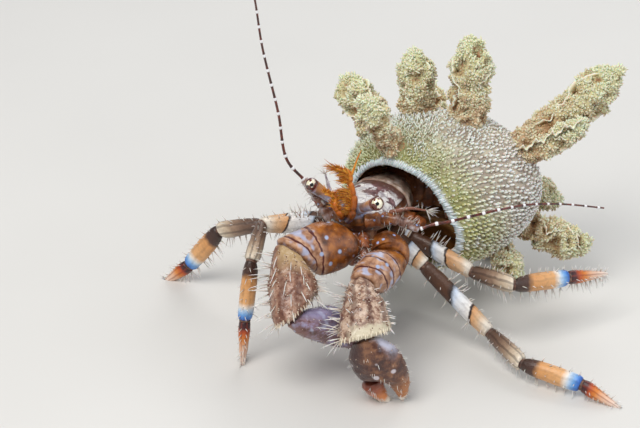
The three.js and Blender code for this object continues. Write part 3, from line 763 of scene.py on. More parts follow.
def coatPieces(seed=11):
    # the dome's three coats, drawn one after the other, then the arms' polyps and frills
    rng = np.random.default_rng(seed)
    big, small, rim = tubercleCoat(rng), downCoat(rng), rimCoat(rng)
    tubercle, polyp = tuberclePaint(), polypPaint()
    makePiece("domeTubercles", [big, rim], [tubercle])
    makePiece("domeDown", [small], [tubercle])
    makePiece("armPolypsLeft", [armCoat([0, 1, 2, 3, 9, 11])], [polyp])
    makePiece("armPolypsRight", [armCoat([4, 5, 6, 7, 8, 10])], [polyp])
    makePiece("armFrills", armFrills(), [frillPaint()])


coatPieces()


# The crab's trunk: hard shield, thinner rear plate, and one soft skin for the rest

trunk = {  # the profile gives the distance behind the brow, half width, half height and the middle's depth
    "profile": [(-0.9, 0.9, 0.7, 1.5), (-0.3, 1.9, 1.3, 1.7), (1.2, 2.7, 2.0, 2.15), (3.8, 3.2, 2.3, 2.7),
                (6.8, 3.5, 2.5, 3.2), (9.2, 3.1, 2.3, 3.3), (11.0, 2.1, 1.6, 3.1)],
    "skirt": -1.95,  # the shield's lower edge, from the brow
    "shieldEnd": 7.35, "rearStart": 7.75, "underside": 14,
}
abdomen = {
    "path": [onCrab(-10.4, 0, -3.1), (9.6, 14.2, 11.8), (13.4, 15.0, 11.7), (16.4, 12.2, 11.5),
             (15.0, 9.4, 11.0), (13.0, 9.2, 10.8)],
    "radii": (1.6, 2.5, 2.9, 2.9, 2.7, 2.2, 1.6, 0.6), "folds": 50, "fold": 0.035,
}
lobe = {
    "path": [(4.2, 4.5, 11.6), (3.8, 2.9, 10.6), (3.1, 1.6, 9.9), (2.5, 1.0, 9.5)],
    "stations": (0, 0.35, 0.7, 0.93, 1), "radii": (1.7, 1.7, 1.45, 0.9, 0.2),
}
trunkLine = alongCurve(trunk["profile"], 160)


def trunkSizes(behind):
    # half width, half height and the middle's depth under the brow, at distances behind the brow
    return np.moveaxis(readOff(trunkLine[:, 1:], behind, trunkLine[:, 0]), -1, 0)


def trunkAt(behind, angle, grow):
    # an oval across the body: half width * cos to the right and half height * sin up
    behind, angle, grow = np.broadcast_arrays(behind, angle, grow)
    wide, high, below = trunkSizes(behind)
    return (brow - forward * behind[..., None] - leftward * ((wide + grow) * np.cos(angle))[..., None]
            + up * (-below + (high + grow) * np.sin(angle))[..., None])


def shieldShell():
    # the oval's upper arc from skirt to skirt, closed by a flat underside, with a groove, two lines and lumps
    end = trunk["shieldEnd"]
    behind = np.concatenate([[-0.86, -0.84], np.linspace(-0.8, end - 0.1, 70), [end, end]])
    pinch = np.concatenate([[-0.5, -0.2], np.full(70, -0.04), [-0.12, -0.5]])
    _, high, below = trunkSizes(behind)
    start = np.arcsin(np.clip((trunk["skirt"] + below) / (high + pinch), -0.95, 0.95))
    angle = start[:, None] + (math.pi - 2 * start)[:, None] * np.linspace(0, 1, 60)
    behind, across = behind[:, None], np.abs(np.cos(angle))
    at = trunkAt(behind, angle, pinch[:, None])
    out = gridNormals(at)
    groove = 0.16 * np.exp(-((behind - 5.6 + 1.3 * across ** 2) / 0.22) ** 2)
    lines = 0.08 * np.exp(-((across - 0.62) / 0.07) ** 2) * ease(0.5, 2.0, behind)
    at = at + out * (0.05 * grain(at, 0.7, 41) + 0.02 * grain(at, 0.25, 42) - groove - lines)[..., None]
    shares = np.linspace(0.04, 0.96, trunk["underside"])[None, :, None]
    chord = at[:, -1:] + (at[:, :1] - at[:, -1:]) * shares + up * 0.1
    lift = np.pad(np.sin(angle), ((0, 0), (0, trunk["underside"])))
    return shell(np.concatenate([at, chord], 1), {"behind": behind, "lift": lift})


def rearShell():
    # the rest of the carapace: whole ovals with faint lengthwise folds
    start = trunk["rearStart"]
    behind = np.concatenate([[start, start], np.linspace(start + 0.1, 10.85, 34), [10.95]])[:, None]
    pinch = np.concatenate([[-0.5, -0.15], np.full(34, -0.05), [-0.3]])[:, None]
    angle = ringAngles(64)
    at = trunkAt(behind, angle, pinch + 0.05 * np.cos(angle * 14))
    return shell(at + gridNormals(at) * (0.05 * grain(at, 0.6, 43))[..., None])


def softShells():
    # the trunk's core, the coiled abdomen with a fold every couple of millimetres, and a lobe under the mouth
    behind = np.linspace(-0.7, 10.9, 50)[:, None]
    angle = ringAngles(40)
    fold = 0.06 * np.sin(behind * 5.5) * ease(0.2, -0.8, np.sin(angle))
    share = np.linspace(0, 1, 70)
    radius = spread(abdomen["radii"], share) * (1 + abdomen["fold"] * np.sin(share * abdomen["folds"]))
    thick = np.interp(np.linspace(0, 1, 30), lobe["stations"], lobe["radii"])
    return [shell(trunkAt(behind, angle, -0.3 + fold)),
            shell(rings(alongCurve(abdomen["path"], 70), radius, radius, 32, up)),
            shell(rings(alongCurve(lobe["path"], 30), thick, thick, 32, up))]


def shieldPaint():
    # cream with dark patches and veins, brown behind, and amber and blue at the front
    p = Paint("shield", Roughness=0.32, Coat_Weight=0.3, Coat_Roughness=0.2)
    patches = p.plus(p.noise(1.3, 3, 0.6), p.times(p.between("behind", 1.8, 4.6), 0.09))
    tone = p.clouds([(0.3, "b4adb6"), (0.45, "dedbdd"), (0.65, "f4f2ee")], 0.8, 4)
    tone = p.turned(tone, patches, 0.6, 0.66, p.clouds([(0.35, "4f3339"), (0.65, "866362")], 0.5))
    tone = p.turned(tone, p.stirred("behind", 0.9, 2.4), 6.6, 8.2, "6d4c40")
    veins = p.between(p.cells(0.7, "DISTANCE_TO_EDGE"), 0.09, 0.02)
    tone = p.mix(p.times(veins, 0.45), tone, "7d5f66")
    front = p.clouds([(0.4, "7482ab"), (0.6, "c4bcc9")], 0.5)
    front = p.turned(front, "lift", 0.75, 0.35, p.clouds([(0.4, "55300f"), (0.6, "96581f")], 0.6))
    front = p.turned(front, p.cells(0.6), 0.22, 0.14, "b6c0de")
    return p.finish(p.turned(tone, "behind", 0.9, 0.1, front), p.noise(0.2, 4), 0.05)


def rearPaint():
    # clouded brown
    p = Paint("rear_carapace", Roughness=0.4, Subsurface_Weight=0.15, Subsurface_Scale=0.0006)
    tone = p.clouds([(0.35, "6a5348"), (0.5, "a08878"), (0.68, "c6b6ac")], 0.9, 4)
    return p.finish(tone, p.noise(0.2, 4), 0.06)


def softPaint():
    # amber flesh with small pale blue spots
    p = Paint("soft_skin", Roughness=0.45, Subsurface_Weight=0.2, Subsurface_Scale=0.0006)
    tone = p.clouds([(0.34, "53301f"), (0.5, "7c4a2f"), (0.66, "a5714e")], 1.1, 4)
    return p.finish(p.turned(tone, p.cells(0.9), 0.16, 0.1, "aeb9d4"), p.noise(0.2, 4), 0.06)


makePiece("shieldPlate", [shieldShell()], [shieldPaint()], ["shield"])
makePiece("rearCarapace", [rearShell()], [rearPaint()], ["carapace_rear"])


# Bristles: gathered here by every part of the crab that has them, and made one piece near the end

hairs = []
bristleProfile = ((0, 1), (0.45, 0.75), (0.8, 0.4))


def bristles(roots, ways, length, thick, seed, tile, map, bend=0.25):
    # thin tapered spindles that bow a little, each set on its own square of an 8 by 8 sheet
    rng = np.random.default_rng(seed)
    count = len(roots)
    bow = unit(np.cross(ways, rng.normal(0, 1, (count, 3)))) * bend * rng.random((count, 1)) - up * 0.1
    where = onTile(tile, 8, 0.06, np.clip(map, 0, 1))
    notes = {"shade": rng.random(count)}
    hairs.append(tufts(roots, ways, length, thick, bow, bristleProfile, 3, notes, where))


def picked(grid, rows, count, rng):
    # random points of a tube between two of its rings, the ways out there, and their places on its map
    row, column = rng.integers(*rows, count), rng.integers(0, grid.shape[1], count)
    map = np.stack([column / grid.shape[1], row / len(grid)], 1)
    return grid[row, column], gridNormals(grid)[row, column], map


# Head: eyes on stalks, antennules, antennae and mouthparts

signs = {"right": -1, "left": 1}  # each side's sign along leftward
head = {
    "right": {
        "stalkRoot": onCrab(0.1, -0.75, -0.5),
        "antennule": [onCrab(0.6, -0.6, -1.3), (2.0, 0.2, 15.4), (1.5, 0.0, 16.3), (1.5, 0.2, 17.3),
                      (0.5, -0.2, 17.9)],
        "peduncle": [onCrab(-0.1, -2.1, -2.0), (0.1, 3.3, 15.2), (-1.6, 3.7, 17.5)],
        "warm": 0.3,
        "acicle": [(0.6, 3.4, 14.9), (0.95, 3.6, 15.9), (0.55, 3.7, 18.1)],
        "flagellum": [(-1.62, 3.62, 17.5), (-3.3, 3.6, 19.7), (-4.15, 3.2, 25.2), (-5.65, 2.7, 32.6),
                      (-6.3, 2.2, 37.8), (-7.4, 1.6, 44.0)],
        "jaw": [(1.5, 2.2, 13.1), (0.6, 1.5, 12.7), (0.1, 0.9, 11.5), (0.4, 0.5, 10.2)],
        "fans": [
            {"from": 0.45, "to": 1.0, "way": (-0.55, -0.1, 0.8), "spread": 0.35, "length": 1.0, "count": 200},
            {"from": 0.15, "to": 1.0, "way": (0.6, -0.3, 0.7), "spread": 0.25, "length": 0.75, "count": 190},
        ],
    },
    "left": {
        "stalkRoot": onCrab(0.1, 0.75, -0.5),
        "antennule": [onCrab(0.6, 0.1, -1.5), (3.2, 0.3, 15.4), (3.4, 0.4, 17.0), (3.05, 0.6, 18.6),
                      (2.9, 0.7, 19.8), (1.6, 0.4, 20.4)],
        "peduncle": [onCrab(0.1, 1.7, -1.6), (7.2, 1.2, 14.3), (10.0, 0.6, 13.5)],
        "warm": 0.95,
        "acicle": [(7.0, 1.4, 14.9), (8.9, 1.2, 15.5), (10.7, 1.1, 15.3)],
        "flagellum": [(10.1, 0.55, 13.5), (11.2, 0.7, 13.9), (12.8, 0.9, 14.1), (15.1, 1.5, 14.4),
                      (18.1, 2.6, 14.6), (21.1, 4.6, 14.1), (25.3, 7.4, 12.7), (29.6, 9.4, 11.2)],
        "jaw": [(4.3, 0.9, 12.6), (4.45, -0.3, 12.3), (4.4, -1.2, 11.4), (4.0, -1.5, 10.2)],
        "fans": [
            {"from": 0.66, "to": 1.0, "way": (-1.0, 0.0, 0.2), "spread": 0.2, "length": 1.5, "count": 280},
            {"from": 0.1, "to": 1.0, "way": (-0.6, -0.3, 0.75), "spread": 0.22, "length": 0.95, "count": 360},
            {"from": 0.22, "to": 0.45, "way": (-1.0, -0.15, 0.12), "spread": 0.2, "length": 1.15,
             "count": 150},
            {"from": 0.44, "to": 0.58, "way": (-1.0, -0.1, 0.0), "spread": 0.14, "length": 1.95,
             "count": 170},
        ],
        "branch": [(3.0, 0.6, 19.2), (3.4, 0.6, 20.4), (3.75, 0.6, 21.5), (4.1, 0.55, 22.4)],
    },
}
headRadii = {
    "stalk": (0.68, 0.56, 0.5, 0.52, 0.6, 0.7),
    "scaleWide": (0.2, 0.36, 0.34, 0.2, 0.04), "scaleHigh": (0.1, 0.17, 0.15, 0.1, 0.03),
    "antennule": (0.44, 0.4, 0.36, 0.34, 0.3, 0.27, 0.22, 0.14), "branch": (0.13, 0.12, 0.08, 0.03),
    "peduncle": (0.76, 0.7, 0.6, 0.53, 0.4), "acicle": (0.26, 0.22, 0.16, 0.07),
    "jaw": (0.5, 0.56, 0.56, 0.52, 0.45, 0.28),
}
eye = {"radius": 0.7, "squash": 0.96, "pupil": unit(np.array([0.03, -0.9, 0.42])),
       "dark": unit(np.array([-0.55, -0.83, -0.2]))}
feeler = {"thick": 0.15, "taper": 0.45, "bead": 1.65, "beadWide": 0.2, "beadHigh": 0.45, "joint": 0.32,
          "jointHigh": 0.06}


def jointed(points, radii, count, sides, tall, cuts, seed, bumps):
    # a tube whose radius dips at each cut and swells just before it, like a feeler's ringed base
    share = np.linspace(0, 1, count)
    radius = spread(radii, share)
    for cut in cuts:
        dip = 0.3 * np.exp(-((share - cut) / 0.018) ** 2)
        swell = 0.1 * np.exp(-((share - cut + 0.06) / 0.04) ** 2)
        radius = radius * (1 - dip + swell)
    radius[0], radius[-1] = radius[0] * 0.6, radius[-1] * 0.5
    grid = rings(alongCurve(points, count), radius, radius, sides, tall)
    return grid + gridNormals(grid) * (bumps * grain(grid, 0.35, seed))[..., None], share


def eyeShell(centre, axis):
    # a ball a little flattened along its stalk, noting how far each place is from the pupil and the base
    grid = ball(centre, axis, eye["radius"], eye["squash"], 40, 56, 0.03, forward)
    way = unit(grid - centre)
    fromPupil = np.arccos(np.clip(way @ eye["pupil"], -1, 1))
    return shell(grid, {"pupil": fromPupil, "crown": way @ axis, "low": way @ eye["dark"]})


def eyestalkShells(root, neck, sign):
    # the stalk, and the small pointed scale at its root
    grid, share = jointed([root, (root + neck) / 2, neck], headRadii["stalk"], 44, 40, up, (), 60, 0.03)
    stalk = shell(grid, {"along": share[:, None], "top": unit(grid - grid.mean(1, keepdims=True)) @ up})
    scale = alongCurve([onCrab(ahead, left * sign, above) for ahead, left, above in
                        ((-0.1, 0.62, 0.0), (0.5, 0.5, 0.16), (1.15, 0.42, 0.05))], 24)
    wide, high = (spread(headRadii[name], np.linspace(0, 1, 24)) for name in ("scaleWide", "scaleHigh"))
    return [stalk, shell(rings(scale, wide, high, 16, up), {"along": 0.1, "top": -0.6})]


def fanTufts(fan, path, rng):
    # fine hairs from one stretch of the antennule, fanned out round one way
    count = fan["count"]
    roots = readOff(path, rng.uniform(fan["from"], fan["to"], count), np.linspace(0, 1, len(path)))
    ways = unit(np.array(fan["way"]) + rng.normal(0, fan["spread"], (count, 3)) * (0.5, 0.5, 1.0))
    length = fan["length"] * (0.6 + 0.5 * rng.random(count))
    bend = rng.normal(0, 0.1, (count, 3))
    notes = {"along": 0.3 + 0.9 * rng.random(count)}
    return tufts(roots, ways, length, 0.042, bend, ((0, 1), (0.4, 0.9), (0.8, 0.55)), 4, notes)


def antennuleShells(own, rng):
    # the jointed stem, its fans of hairs, and the outer branch where it shows
    points, cuts = own["antennule"], (0.3, 0.5, 0.68)
    grid, share = jointed(points, headRadii["antennule"], 80, 24, forward, cuts, 61, 0.02)
    path = alongCurve(points, 80)
    shells = [shell(grid, {"along": share[:, None]}), *(fanTufts(fan, path, rng) for fan in own["fans"])]
    if "branch" in own:
        radius = spread(headRadii["branch"], np.linspace(0, 1, 40))
        branch = rings(alongCurve(own["branch"], 40), radius, radius, 12, forward)
        shells.append(shell(branch, {"along": 0.9}))
    return shells


def feelerShell(points):
    # a long tapered lash with fine joints, swollen at even distances, with a note on those beads
    path = alongCurve(points, 420)
    run = runOf(path)
    bead = np.exp(-((((run - 0.9) % feeler["bead"]) - feeler["bead"] / 2) / feeler["beadWide"]) ** 2)
    joints = feeler["jointHigh"] * np.abs(np.sin(run * math.pi / feeler["joint"]))
    radius = feeler["thick"] * (1 - feeler["taper"] * run / run[-1])
    radius = radius * (1 + feeler["beadHigh"] * bead + joints)
    radius[-1] *= 0.3
    return shell(rings(path, radius, radius, 10, forward), {"bead": bead[:, None]})


def corneaPaint():
    # a cream iris with red specks, a dark red rim and underside, and a black pupil
    p = Paint("cornea", Roughness=0.08, Coat_Weight=1.0, Coat_Roughness=0.03)
    speck = p.times(p.between(p.cells(0.4), 0.34, 0.27), p.between("pupil", 0.36, 0.5))
    tone = p.mix(speck, p.clouds([(0.4, "e9e2c2"), (0.6, "f6f2de")], 0.3), "6b1f15")
    lower = p.clouds([(0.4, "2c0d0a"), (0.6, "6d261a")], 0.25)
    tone = p.turned(tone, p.stirred("crown", 0.3, 0.25), 0.28, 0.12, lower)
    tone = p.turned(tone, p.stirred("pupil", 0.3, 0.2), 0.93, 1.06, "5a1d14")
    tone = p.turned(tone, p.stirred("low", 0.25, 0.4), 1.0, 1.07, lower)
    return p.finish(p.turned(tone, "pupil", 0.32, 0.26, "050404"), p.cells(0.06), 0.004)


def stalkPaint():
    # lavender with brown patches, tan on top towards the eye, and dark round the eye
    p = Paint("eyestalk", Roughness=0.35, Subsurface_Weight=0.15, Subsurface_Scale=0.0005)
    tone = p.clouds([(0.35, "8a8aa3"), (0.5, "b3b3c9"), (0.68, "dcdae2")], 0.6, 4)
    tone = p.turned(tone, p.noise(1.2, 2), 0.48, 0.6, "7d6053")
    tone = p.mix(p.times(p.between("top", -0.4, 0.4), p.between("along", 0.5, 0.72)), tone, "b98559")
    return p.finish(p.turned(tone, "along", 0.93, 0.99, "6a3a2c"), p.noise(0.15, 3), 0.03)


def antennulePaint():
    # mauve at the root, then brown turning to orange
    p = Paint("antennule", Roughness=0.35, Subsurface_Weight=0.25, Subsurface_Scale=0.0005)
    tone = p.ramp(p.stirred("along", 0.4, 1.1, 4, 0.5),
                  [(0.1, "6f3c18"), (0.4, "a35717"), (0.75, "c66d12"), (1.1, "e39a35")])
    return p.finish(p.turned(tone, "along", 0.2, 0.1, "86798f"), p.noise(0.15, 3), 0.03)


def antennaBasePaint():
    # brown and lilac, amber where warm, with blue and red spots
    p = Paint("antenna_base", Roughness=0.35, Coat_Weight=0.3)
    tone = p.clouds([(0.33, "4a2a22"), (0.48, "8c6a5c"), (0.6, "b9b0b4"), (0.72, "dad7da")], 0.8, 4)
    tone = p.mix("warm", tone, p.clouds([(0.35, "5a2c0c"), (0.5, "8a4a12"), (0.66, "b06c26")], 0.9, 4))
    tone = p.turned(tone, p.cells(0.8), 0.2, 0.12, "8fa3d6")
    return p.finish(p.turned(tone, p.cells(1.3), 0.16, 0.1, "a33a22"), p.noise(0.15, 3), 0.04)


def aciclePaint():
    # lilac, or brown where warm
    p = Paint("acicle", Roughness=0.35)
    tone = p.clouds([(0.4, "8a8299"), (0.6, "d2d0e0")], 0.6)
    return p.finish(p.mix("warm", tone, "7a4326"), p.noise(0.15, 3), 0.03)


def feelerPaint():
    # dark red with white rings
    p = Paint("feeler", Roughness=0.3, Coat_Weight=0.3)
    tone = p.turned(p.clouds([(0.4, "34110d"), (0.6, "6a2a1c")], 0.6), "bead", 0.35, 0.7, "f1f1f4")
    return p.finish(tone, p.noise(0.1, 3), 0.01)


def mouthPaint():
    # amber brown with pale blue spots
    p = Paint("mouthparts", Roughness=0.4, Subsurface_Weight=0.1, Subsurface_Scale=0.0004)
    tone = p.clouds([(0.35, "4f2a17"), (0.55, "8a4c26"), (0.7, "b06c3b")], 0.9, 4)
    return p.finish(p.turned(tone, p.cells(0.9), 0.2, 0.12, "b6c3e6"), p.noise(0.15, 3), 0.04)


def eyePieces(number, side, own, cornea, stalk, antennule):
    # one side's eye, eyestalk and antennule
    rng = np.random.default_rng(50 + number)
    centre, title = np.array(eyes[side]), side.capitalize()
    away = unit(centre - own["stalkRoot"])
    neck = centre - away * eye["radius"] * 0.35
    makePiece("eye" + title, [eyeShell(centre, away)], [cornea], ["eye_" + side])
    stalkShells = eyestalkShells(own["stalkRoot"], neck, signs[side])
    makePiece("eyestalk" + title, stalkShells, [stalk], ["eyestalk_" + side])
    makePiece("antennule" + title, antennuleShells(own, rng), [antennule], ["antennule_" + side])


def mouthPieces(number, side, own, antennaBase, acicle, lash, mouth):
    # one side's antenna base with its acicle, feeler and maxilliped, and the bristles on them
    rng, title = np.random.default_rng(70 + number), side.capitalize()
    base, share = jointed(own["peduncle"], headRadii["peduncle"], 70, 36, up, (0.3, 0.62), 71, 0.05)
    spine, _ = jointed(own["acicle"], headRadii["acicle"], 40, 20, leftward, (), 72, 0.03)
    jaw, _ = jointed(own["jaw"], headRadii["jaw"], 60, 30, forward, (0.22, 0.5, 0.75), 73, 0.05)
    warm = own["warm"] * ease(0.66, 0.46, share)[:, None]
    shells = [shell(base, {"warm": warm}), shell(spine, {"warm": own["warm"]}, 1)]
    makePiece("antennaBase" + title, shells, [antennaBase, acicle], ["antenna_base_" + side])
    makePiece("feeler" + title, [feelerShell(own["flagellum"])], [lash], ["antenna_" + side])
    makePiece("maxilliped" + title, [shell(jaw)], [mouth], ["maxilliped_" + side])
    at, out, map = picked(jaw, (14, 58), 70, rng)
    bristles(at, unit(out - up * 0.5), rng.uniform(0.5, 1.0, 70), 0.022, 74 + number, number, map)
    tip = np.array(own["acicle"][-1])
    ways = unit(unit(tip - own["acicle"][-2]) + rng.normal(0, 0.7, (11, 3)))
    length = rng.uniform(0.9, 1.8, 11)
    bristles(tip - ways * 0.05, ways, length, 0.045, 76 + number, 2 + number, rng.random((11, 2)))
    at, out, map = picked(base, (24, 66), 42, rng)
    ways = unit(out + rng.normal(0, 0.3, (42, 3)))
    bristles(at, ways, rng.uniform(0.5, 1.2, 42), 0.035, 80 + number, 6 + number, map)
    at, _, _ = picked(spine, (5, 38), 14, rng)
    ways = unit(rng.normal(0, 1, (14, 3)) + up * 0.6)
    length = rng.uniform(0.5, 0.9, 14)
    bristles(at, ways, length, 0.022, 78 + number, 4 + number, rng.random((14, 2)))


mouthSkin = mouthPaint()
eyePaints = [corneaPaint(), stalkPaint(), antennulePaint()]
antennaPaints = [antennaBasePaint(), aciclePaint(), feelerPaint()]
for number, (side, own) in enumerate(head.items()):
    eyePieces(number, side, own, *eyePaints)
for number, (side, own) in enumerate(head.items()):
    mouthPieces(number, side, own, *antennaPaints, mouthSkin)


# Limbs: every segment is a loft of ovals, cut slantwise at its joints, with soft skin in the joints

legRings = {  # for each segment: the share of its length, half width and half height
    "base": [(0, 0.8, 0.9), (0.35, 0.95, 1.05), (1, 0.75, 0.85)],
    "merus": [(0, 0.68, 0.78), (0.2, 0.74, 0.92), (0.55, 0.78, 0.97), (0.86, 0.74, 0.9), (1, 0.62, 0.74)],
    "carpus": [(0, 0.62, 0.72), (0.24, 0.74, 0.86), (0.6, 0.82, 0.98), (0.85, 0.84, 0.98), (1, 0.7, 0.8)],
    "propodus": [(0, 0.6, 0.7), (0.2, 0.78, 0.94), (0.5, 0.82, 1.0), (0.85, 0.78, 0.96), (1, 0.66, 0.8)],
    "dactyl": [(0, 0.58, 0.72), (0.2, 0.62, 0.76), (0.5, 0.48, 0.6), (0.8, 0.3, 0.38), (1, 0.1, 0.12)],
}
segmentNames = list(legRings)
walkingLegs = {
    "leg_2_right": {"joints": [(2.3, 5.0, 11.6), (0.6, 5.4, 11.5), (-5.9, 3.6, 12.3), (-6.9, -0.9, 10.6),
                               (-7.6, -2.5, 4.7), (-7.9, -3.5, -0.6)], "white": (0.28, 0.66)},
    "leg_3_right": {"joints": [(3.0, 7.0, 11.2), (1.0, 7.9, 10.9), (-6.2, 10.3, 8.8), (-10.6, 11.9, 7.2),
                               (-14.0, 13.4, 2.2), (-17.0, 14.4, -0.7)], "white": (0.35, 0.64)},
    "leg_2_left": {"joints": [(7.6, 3.4, 11.0), (10.6, 1.8, 8.6), (17.3, -1.7, 2.7), (20.3, -6.6, 2.0),
                              (26.0, -9.6, 1.4), (29.8, -11.7, -0.2)], "white": (0.49, 0.74)},
    "leg_3_left": {"joints": [(7.8, 5.6, 11.2), (9.2, 6.2, 9.7), (15.6, 2.8, 7.3), (19.7, -0.3, 7.5),
                              (25.4, 2.8, 6.6), (29.9, 5.6, 5.5)], "white": (0.44, 0.62)},
}
# for each angle round a leg, the length of its bristles and how many are in a tuft
legFringes = {270: (1.4, 2), 250: (0.95, 1), 90: (0.9, 1), 60: (0.65, 1), 180: (0.6, 1)}
fourthLegs = {
    "joints": [(-7.2, 2.6, -4.0), (-7.6, 4.2, -4.6), (-6.6, 5.2, -4.2), (-5.4, 5.3, -3.6)],
    "radii": (0.56, 0.58, 0.56, 0.5, 0.45, 0.24), "cuts": (0.33, 0.66),
}
clawLimbs = {  # a fringe is its angle, span, number of tufts, length, bristles in a tuft and lean
    "right": {
        "joints": [(2.3, 3.4, 11.2), (2.8, -0.7, 12.6), (-2.9, -3.9, 13.0), (-2.5, -9.0, 8.9)],
        "rings": [[(0, 0.8, 0.8), (0.5, 1.0, 1.0), (1, 1.2, 1.2)],
                  [(0, 1.7, 1.2), (0.2, 2.5, 1.5), (0.5, 2.75, 1.7), (0.75, 2.3, 1.6), (1, 1.7, 1.4)],
                  [(0, 1.6, 1.3), (0.3, 2.2, 2.0), (0.6, 2.5, 2.3), (0.82, 2.3, 2.1), (1, 1.5, 1.4)]],
        "palm": {"tip": (6.7, -4.0, 3.4), "side": (0.1, 0.3, 1), "wide": 2.0, "high": 1.9},
        "fringes": [(180, (0.12, 0.92), 8, 2.3, 2, 0.0), (165, (0.15, 0.95), 7, 1.8, 1, 0.2),
                    (200, (0.15, 0.95), 7, 1.9, 1, 0.25), (100, (0.25, 0.85), 5, 1.7, 1, 1.9),
                    (135, (0.2, 0.9), 6, 1.8, 1, 1.3), (60, (0.3, 0.85), 5, 1.4, 1, 1.6),
                    (0, (0.45, 0.98), 6, 2.1, 2, 0.2), (335, (0.4, 0.95), 5, 1.6, 1, 0.2)],
    },
    "left": {
        "joints": [(6.3, 1.2, 12.4), (7.2, -1.1, 10.9), (4.2, -6.4, 11.0), (4.4, -11.5, 7.9)],
        "rings": [[(0, 1.0, 1.0), (0.35, 1.8, 1.7), (0.7, 2.1, 2.0), (1, 1.6, 1.6)],
                  [(0, 1.5, 1.5), (0.3, 2.1, 2.0), (0.65, 2.1, 2.0), (1, 1.3, 1.3)],
                  [(0, 1.3, 1.2), (0.3, 2.0, 1.7), (0.6, 2.4, 2.0), (0.85, 2.6, 2.0), (1, 2.1, 1.6)]],
        "palm": {"tip": (7.6, -10.2, -0.2), "side": (-1, 0.1, -0.1), "wide": 2.7, "high": 1.7},
        "fringes": [(180, (0.1, 0.95), 6, 2.4, 3, -0.05), (160, (0.15, 0.9), 5, 1.5, 2, 0.1),
                    (205, (0.15, 0.95), 6, 1.8, 2, 0.1), (95, (0.2, 0.75), 5, 0.8, 1, 0.3),
                    (125, (0.2, 0.8), 5, 0.9, 2, -0.1), (50, (0.2, 0.8), 5, 0.8, 1, 0.2),
                    (0, (0.3, 0.95), 6, 0.8, 2, 0.2), (335, (0.3, 0.95), 5, 0.7, 1, 0.2)],
    },
}
clawSegments = ["base", "merus", "carpus"]
clawMakes = [{"bumps": 0.05, "flare": 0.0}, {"bumps": 0.05, "flare": 0.05}, {"bumps": 0.1, "flare": 0.05}]
palmRings = [(0, 0, 0.5, 0.6), (0.2, 0, 0.92, 0.96), (0.36, 0, 1, 1), (0.5, -0.04, 0.96, 0.92),
             (0.6, -0.44, 0.5, 0.74), (0.76, -0.46, 0.36, 0.52), (0.92, -0.34, 0.2, 0.3),
             (1, -0.22, 0.05, 0.07)]
fingerRings = [(0.58, 0.42, 0.36, 0.6), (0.64, 0.5, 0.44, 0.72), (0.76, 0.5, 0.34, 0.52),
               (0.92, 0.36, 0.2, 0.3), (1, 0.22, 0.05, 0.07)]
jointGap = 0.22
membranes, thorns = [], []


def sheared(grid, centre, share, along, neighbour, sign):
    # slides the rings near a joint along the limb until the last one lies on the plane that halves the bend
    normal = unit(neighbour + along) * sign
    weight = ease(0.45, 0.0, share) if sign < 0 else ease(0.55, 1.0, share)
    radial = (grid - centre[:, None]) @ normal
    slide = (-jointGap / 2 - radial) / (along @ normal)
    return grid + along * (slide * weight[:, None])[..., None]


def roughened(grid, bumps, seed):
    # lumps and pits over the shell of a segment
    lift = bumps * grain(grid, 0.8, seed) + bumps * 0.6 * grain(grid, 0.3, seed + 1)
    return grid + gridNormals(grid) * lift[..., None]


def segmentGrid(start, end, around, profile, tall, seed, sides, rows, bumps, flare):
    # ovals from start to end whose radii follow the profile, rounded at both ends, with a raised far rim
    before, along, after = around
    share = np.concatenate([[0, 0, 0.012, 0.035], np.linspace(0.06, 0.94, rows), [0.965, 0.988, 1, 1]])
    pinch = np.concatenate([[0.4, 0.84, 0.95, 0.99], np.ones(rows), [1.0, 0.98, 0.9, 0.4]])
    pinch = pinch * (0.965 + flare * np.exp(-((share - 0.95) / 0.03) ** 2))
    line = alongCurve(profile, 90)
    wide, high = readOff(line[:, 1:], share, line[:, 0]).T * pinch
    centre = start + (end - start) * share[:, None]
    grid = rings(centre, wide, high, sides, tall, along)
    if before is not None:
        grid = sheared(grid, centre, share, along, before, -1)
    if after is not None:
        grid = sheared(grid, centre, share, along, after, 1)
    return roughened(grid, bumps, seed), share, along


def handGrid(profile, start, palm, before, seed, sides):
    # the hand's ovals shift to one side as the fingers part; each row is its share, shift, width and height
    rows, tip, side = 110, np.array(palm["tip"], float), np.array(palm["side"], float)
    along = unit(tip - start)
    side = unit(side - along * (along @ side))
    knots = np.array(profile, float)
    share = np.linspace(knots[0, 0], 1, rows)
    smooth = np.hanning(9) / np.hanning(9).sum()
    columns = readOff(knots[:, 1:], share, knots[:, 0]).T
    shift, wide, high = (np.convolve(np.pad(column, 4, "edge"), smooth, "valid") for column in columns)
    end = np.concatenate([[0.5, 0.86, 0.96], np.ones(rows - 6), [0.94, 0.75, 0.35]])
    centre = start + (tip - start) * share[:, None] + side * (shift * palm["wide"])[:, None]
    wide, high = wide * end * palm["wide"] * 0.97, high * end * palm["high"] * 0.97
    grid = rings(centre, wide, high, sides, np.cross(along, side), along)
    if before is not None:
        grid = sheared(grid, centre, share, along, before, -1)
    return roughened(grid, 0.05, seed), share, along


def noted(segment, paint):
    # a segment as a shell, noting the share of its length, its side (cos) and its top (sin)
    grid, share, _ = segment
    angle = ringAngles(grid.shape[1])
    return shell(grid, {"along": share[:, None], "side": np.cos(angle), "top": np.sin(angle)}, paint)


def aboveFloor(segment):
    # a segment with nothing under the floor
    grid, share, along = segment
    grid[..., 2] = np.maximum(grid[..., 2], 0.0)
    return grid, share, along


def placesOn(segment, at, angle):
    # points of a segment at shares of its length and angles round it, the ways out, and places on its map
    grid, share, _ = segment
    row = np.abs(share[None, 4:-4] - at[:, None]).argmin(1) + 4
    column = np.round(angle / (2 * math.pi) * grid.shape[1]).astype(int) % grid.shape[1]
    map = np.stack([column / grid.shape[1], share[row]], 1)
    return grid[row, column], gridNormals(grid)[row, column], map


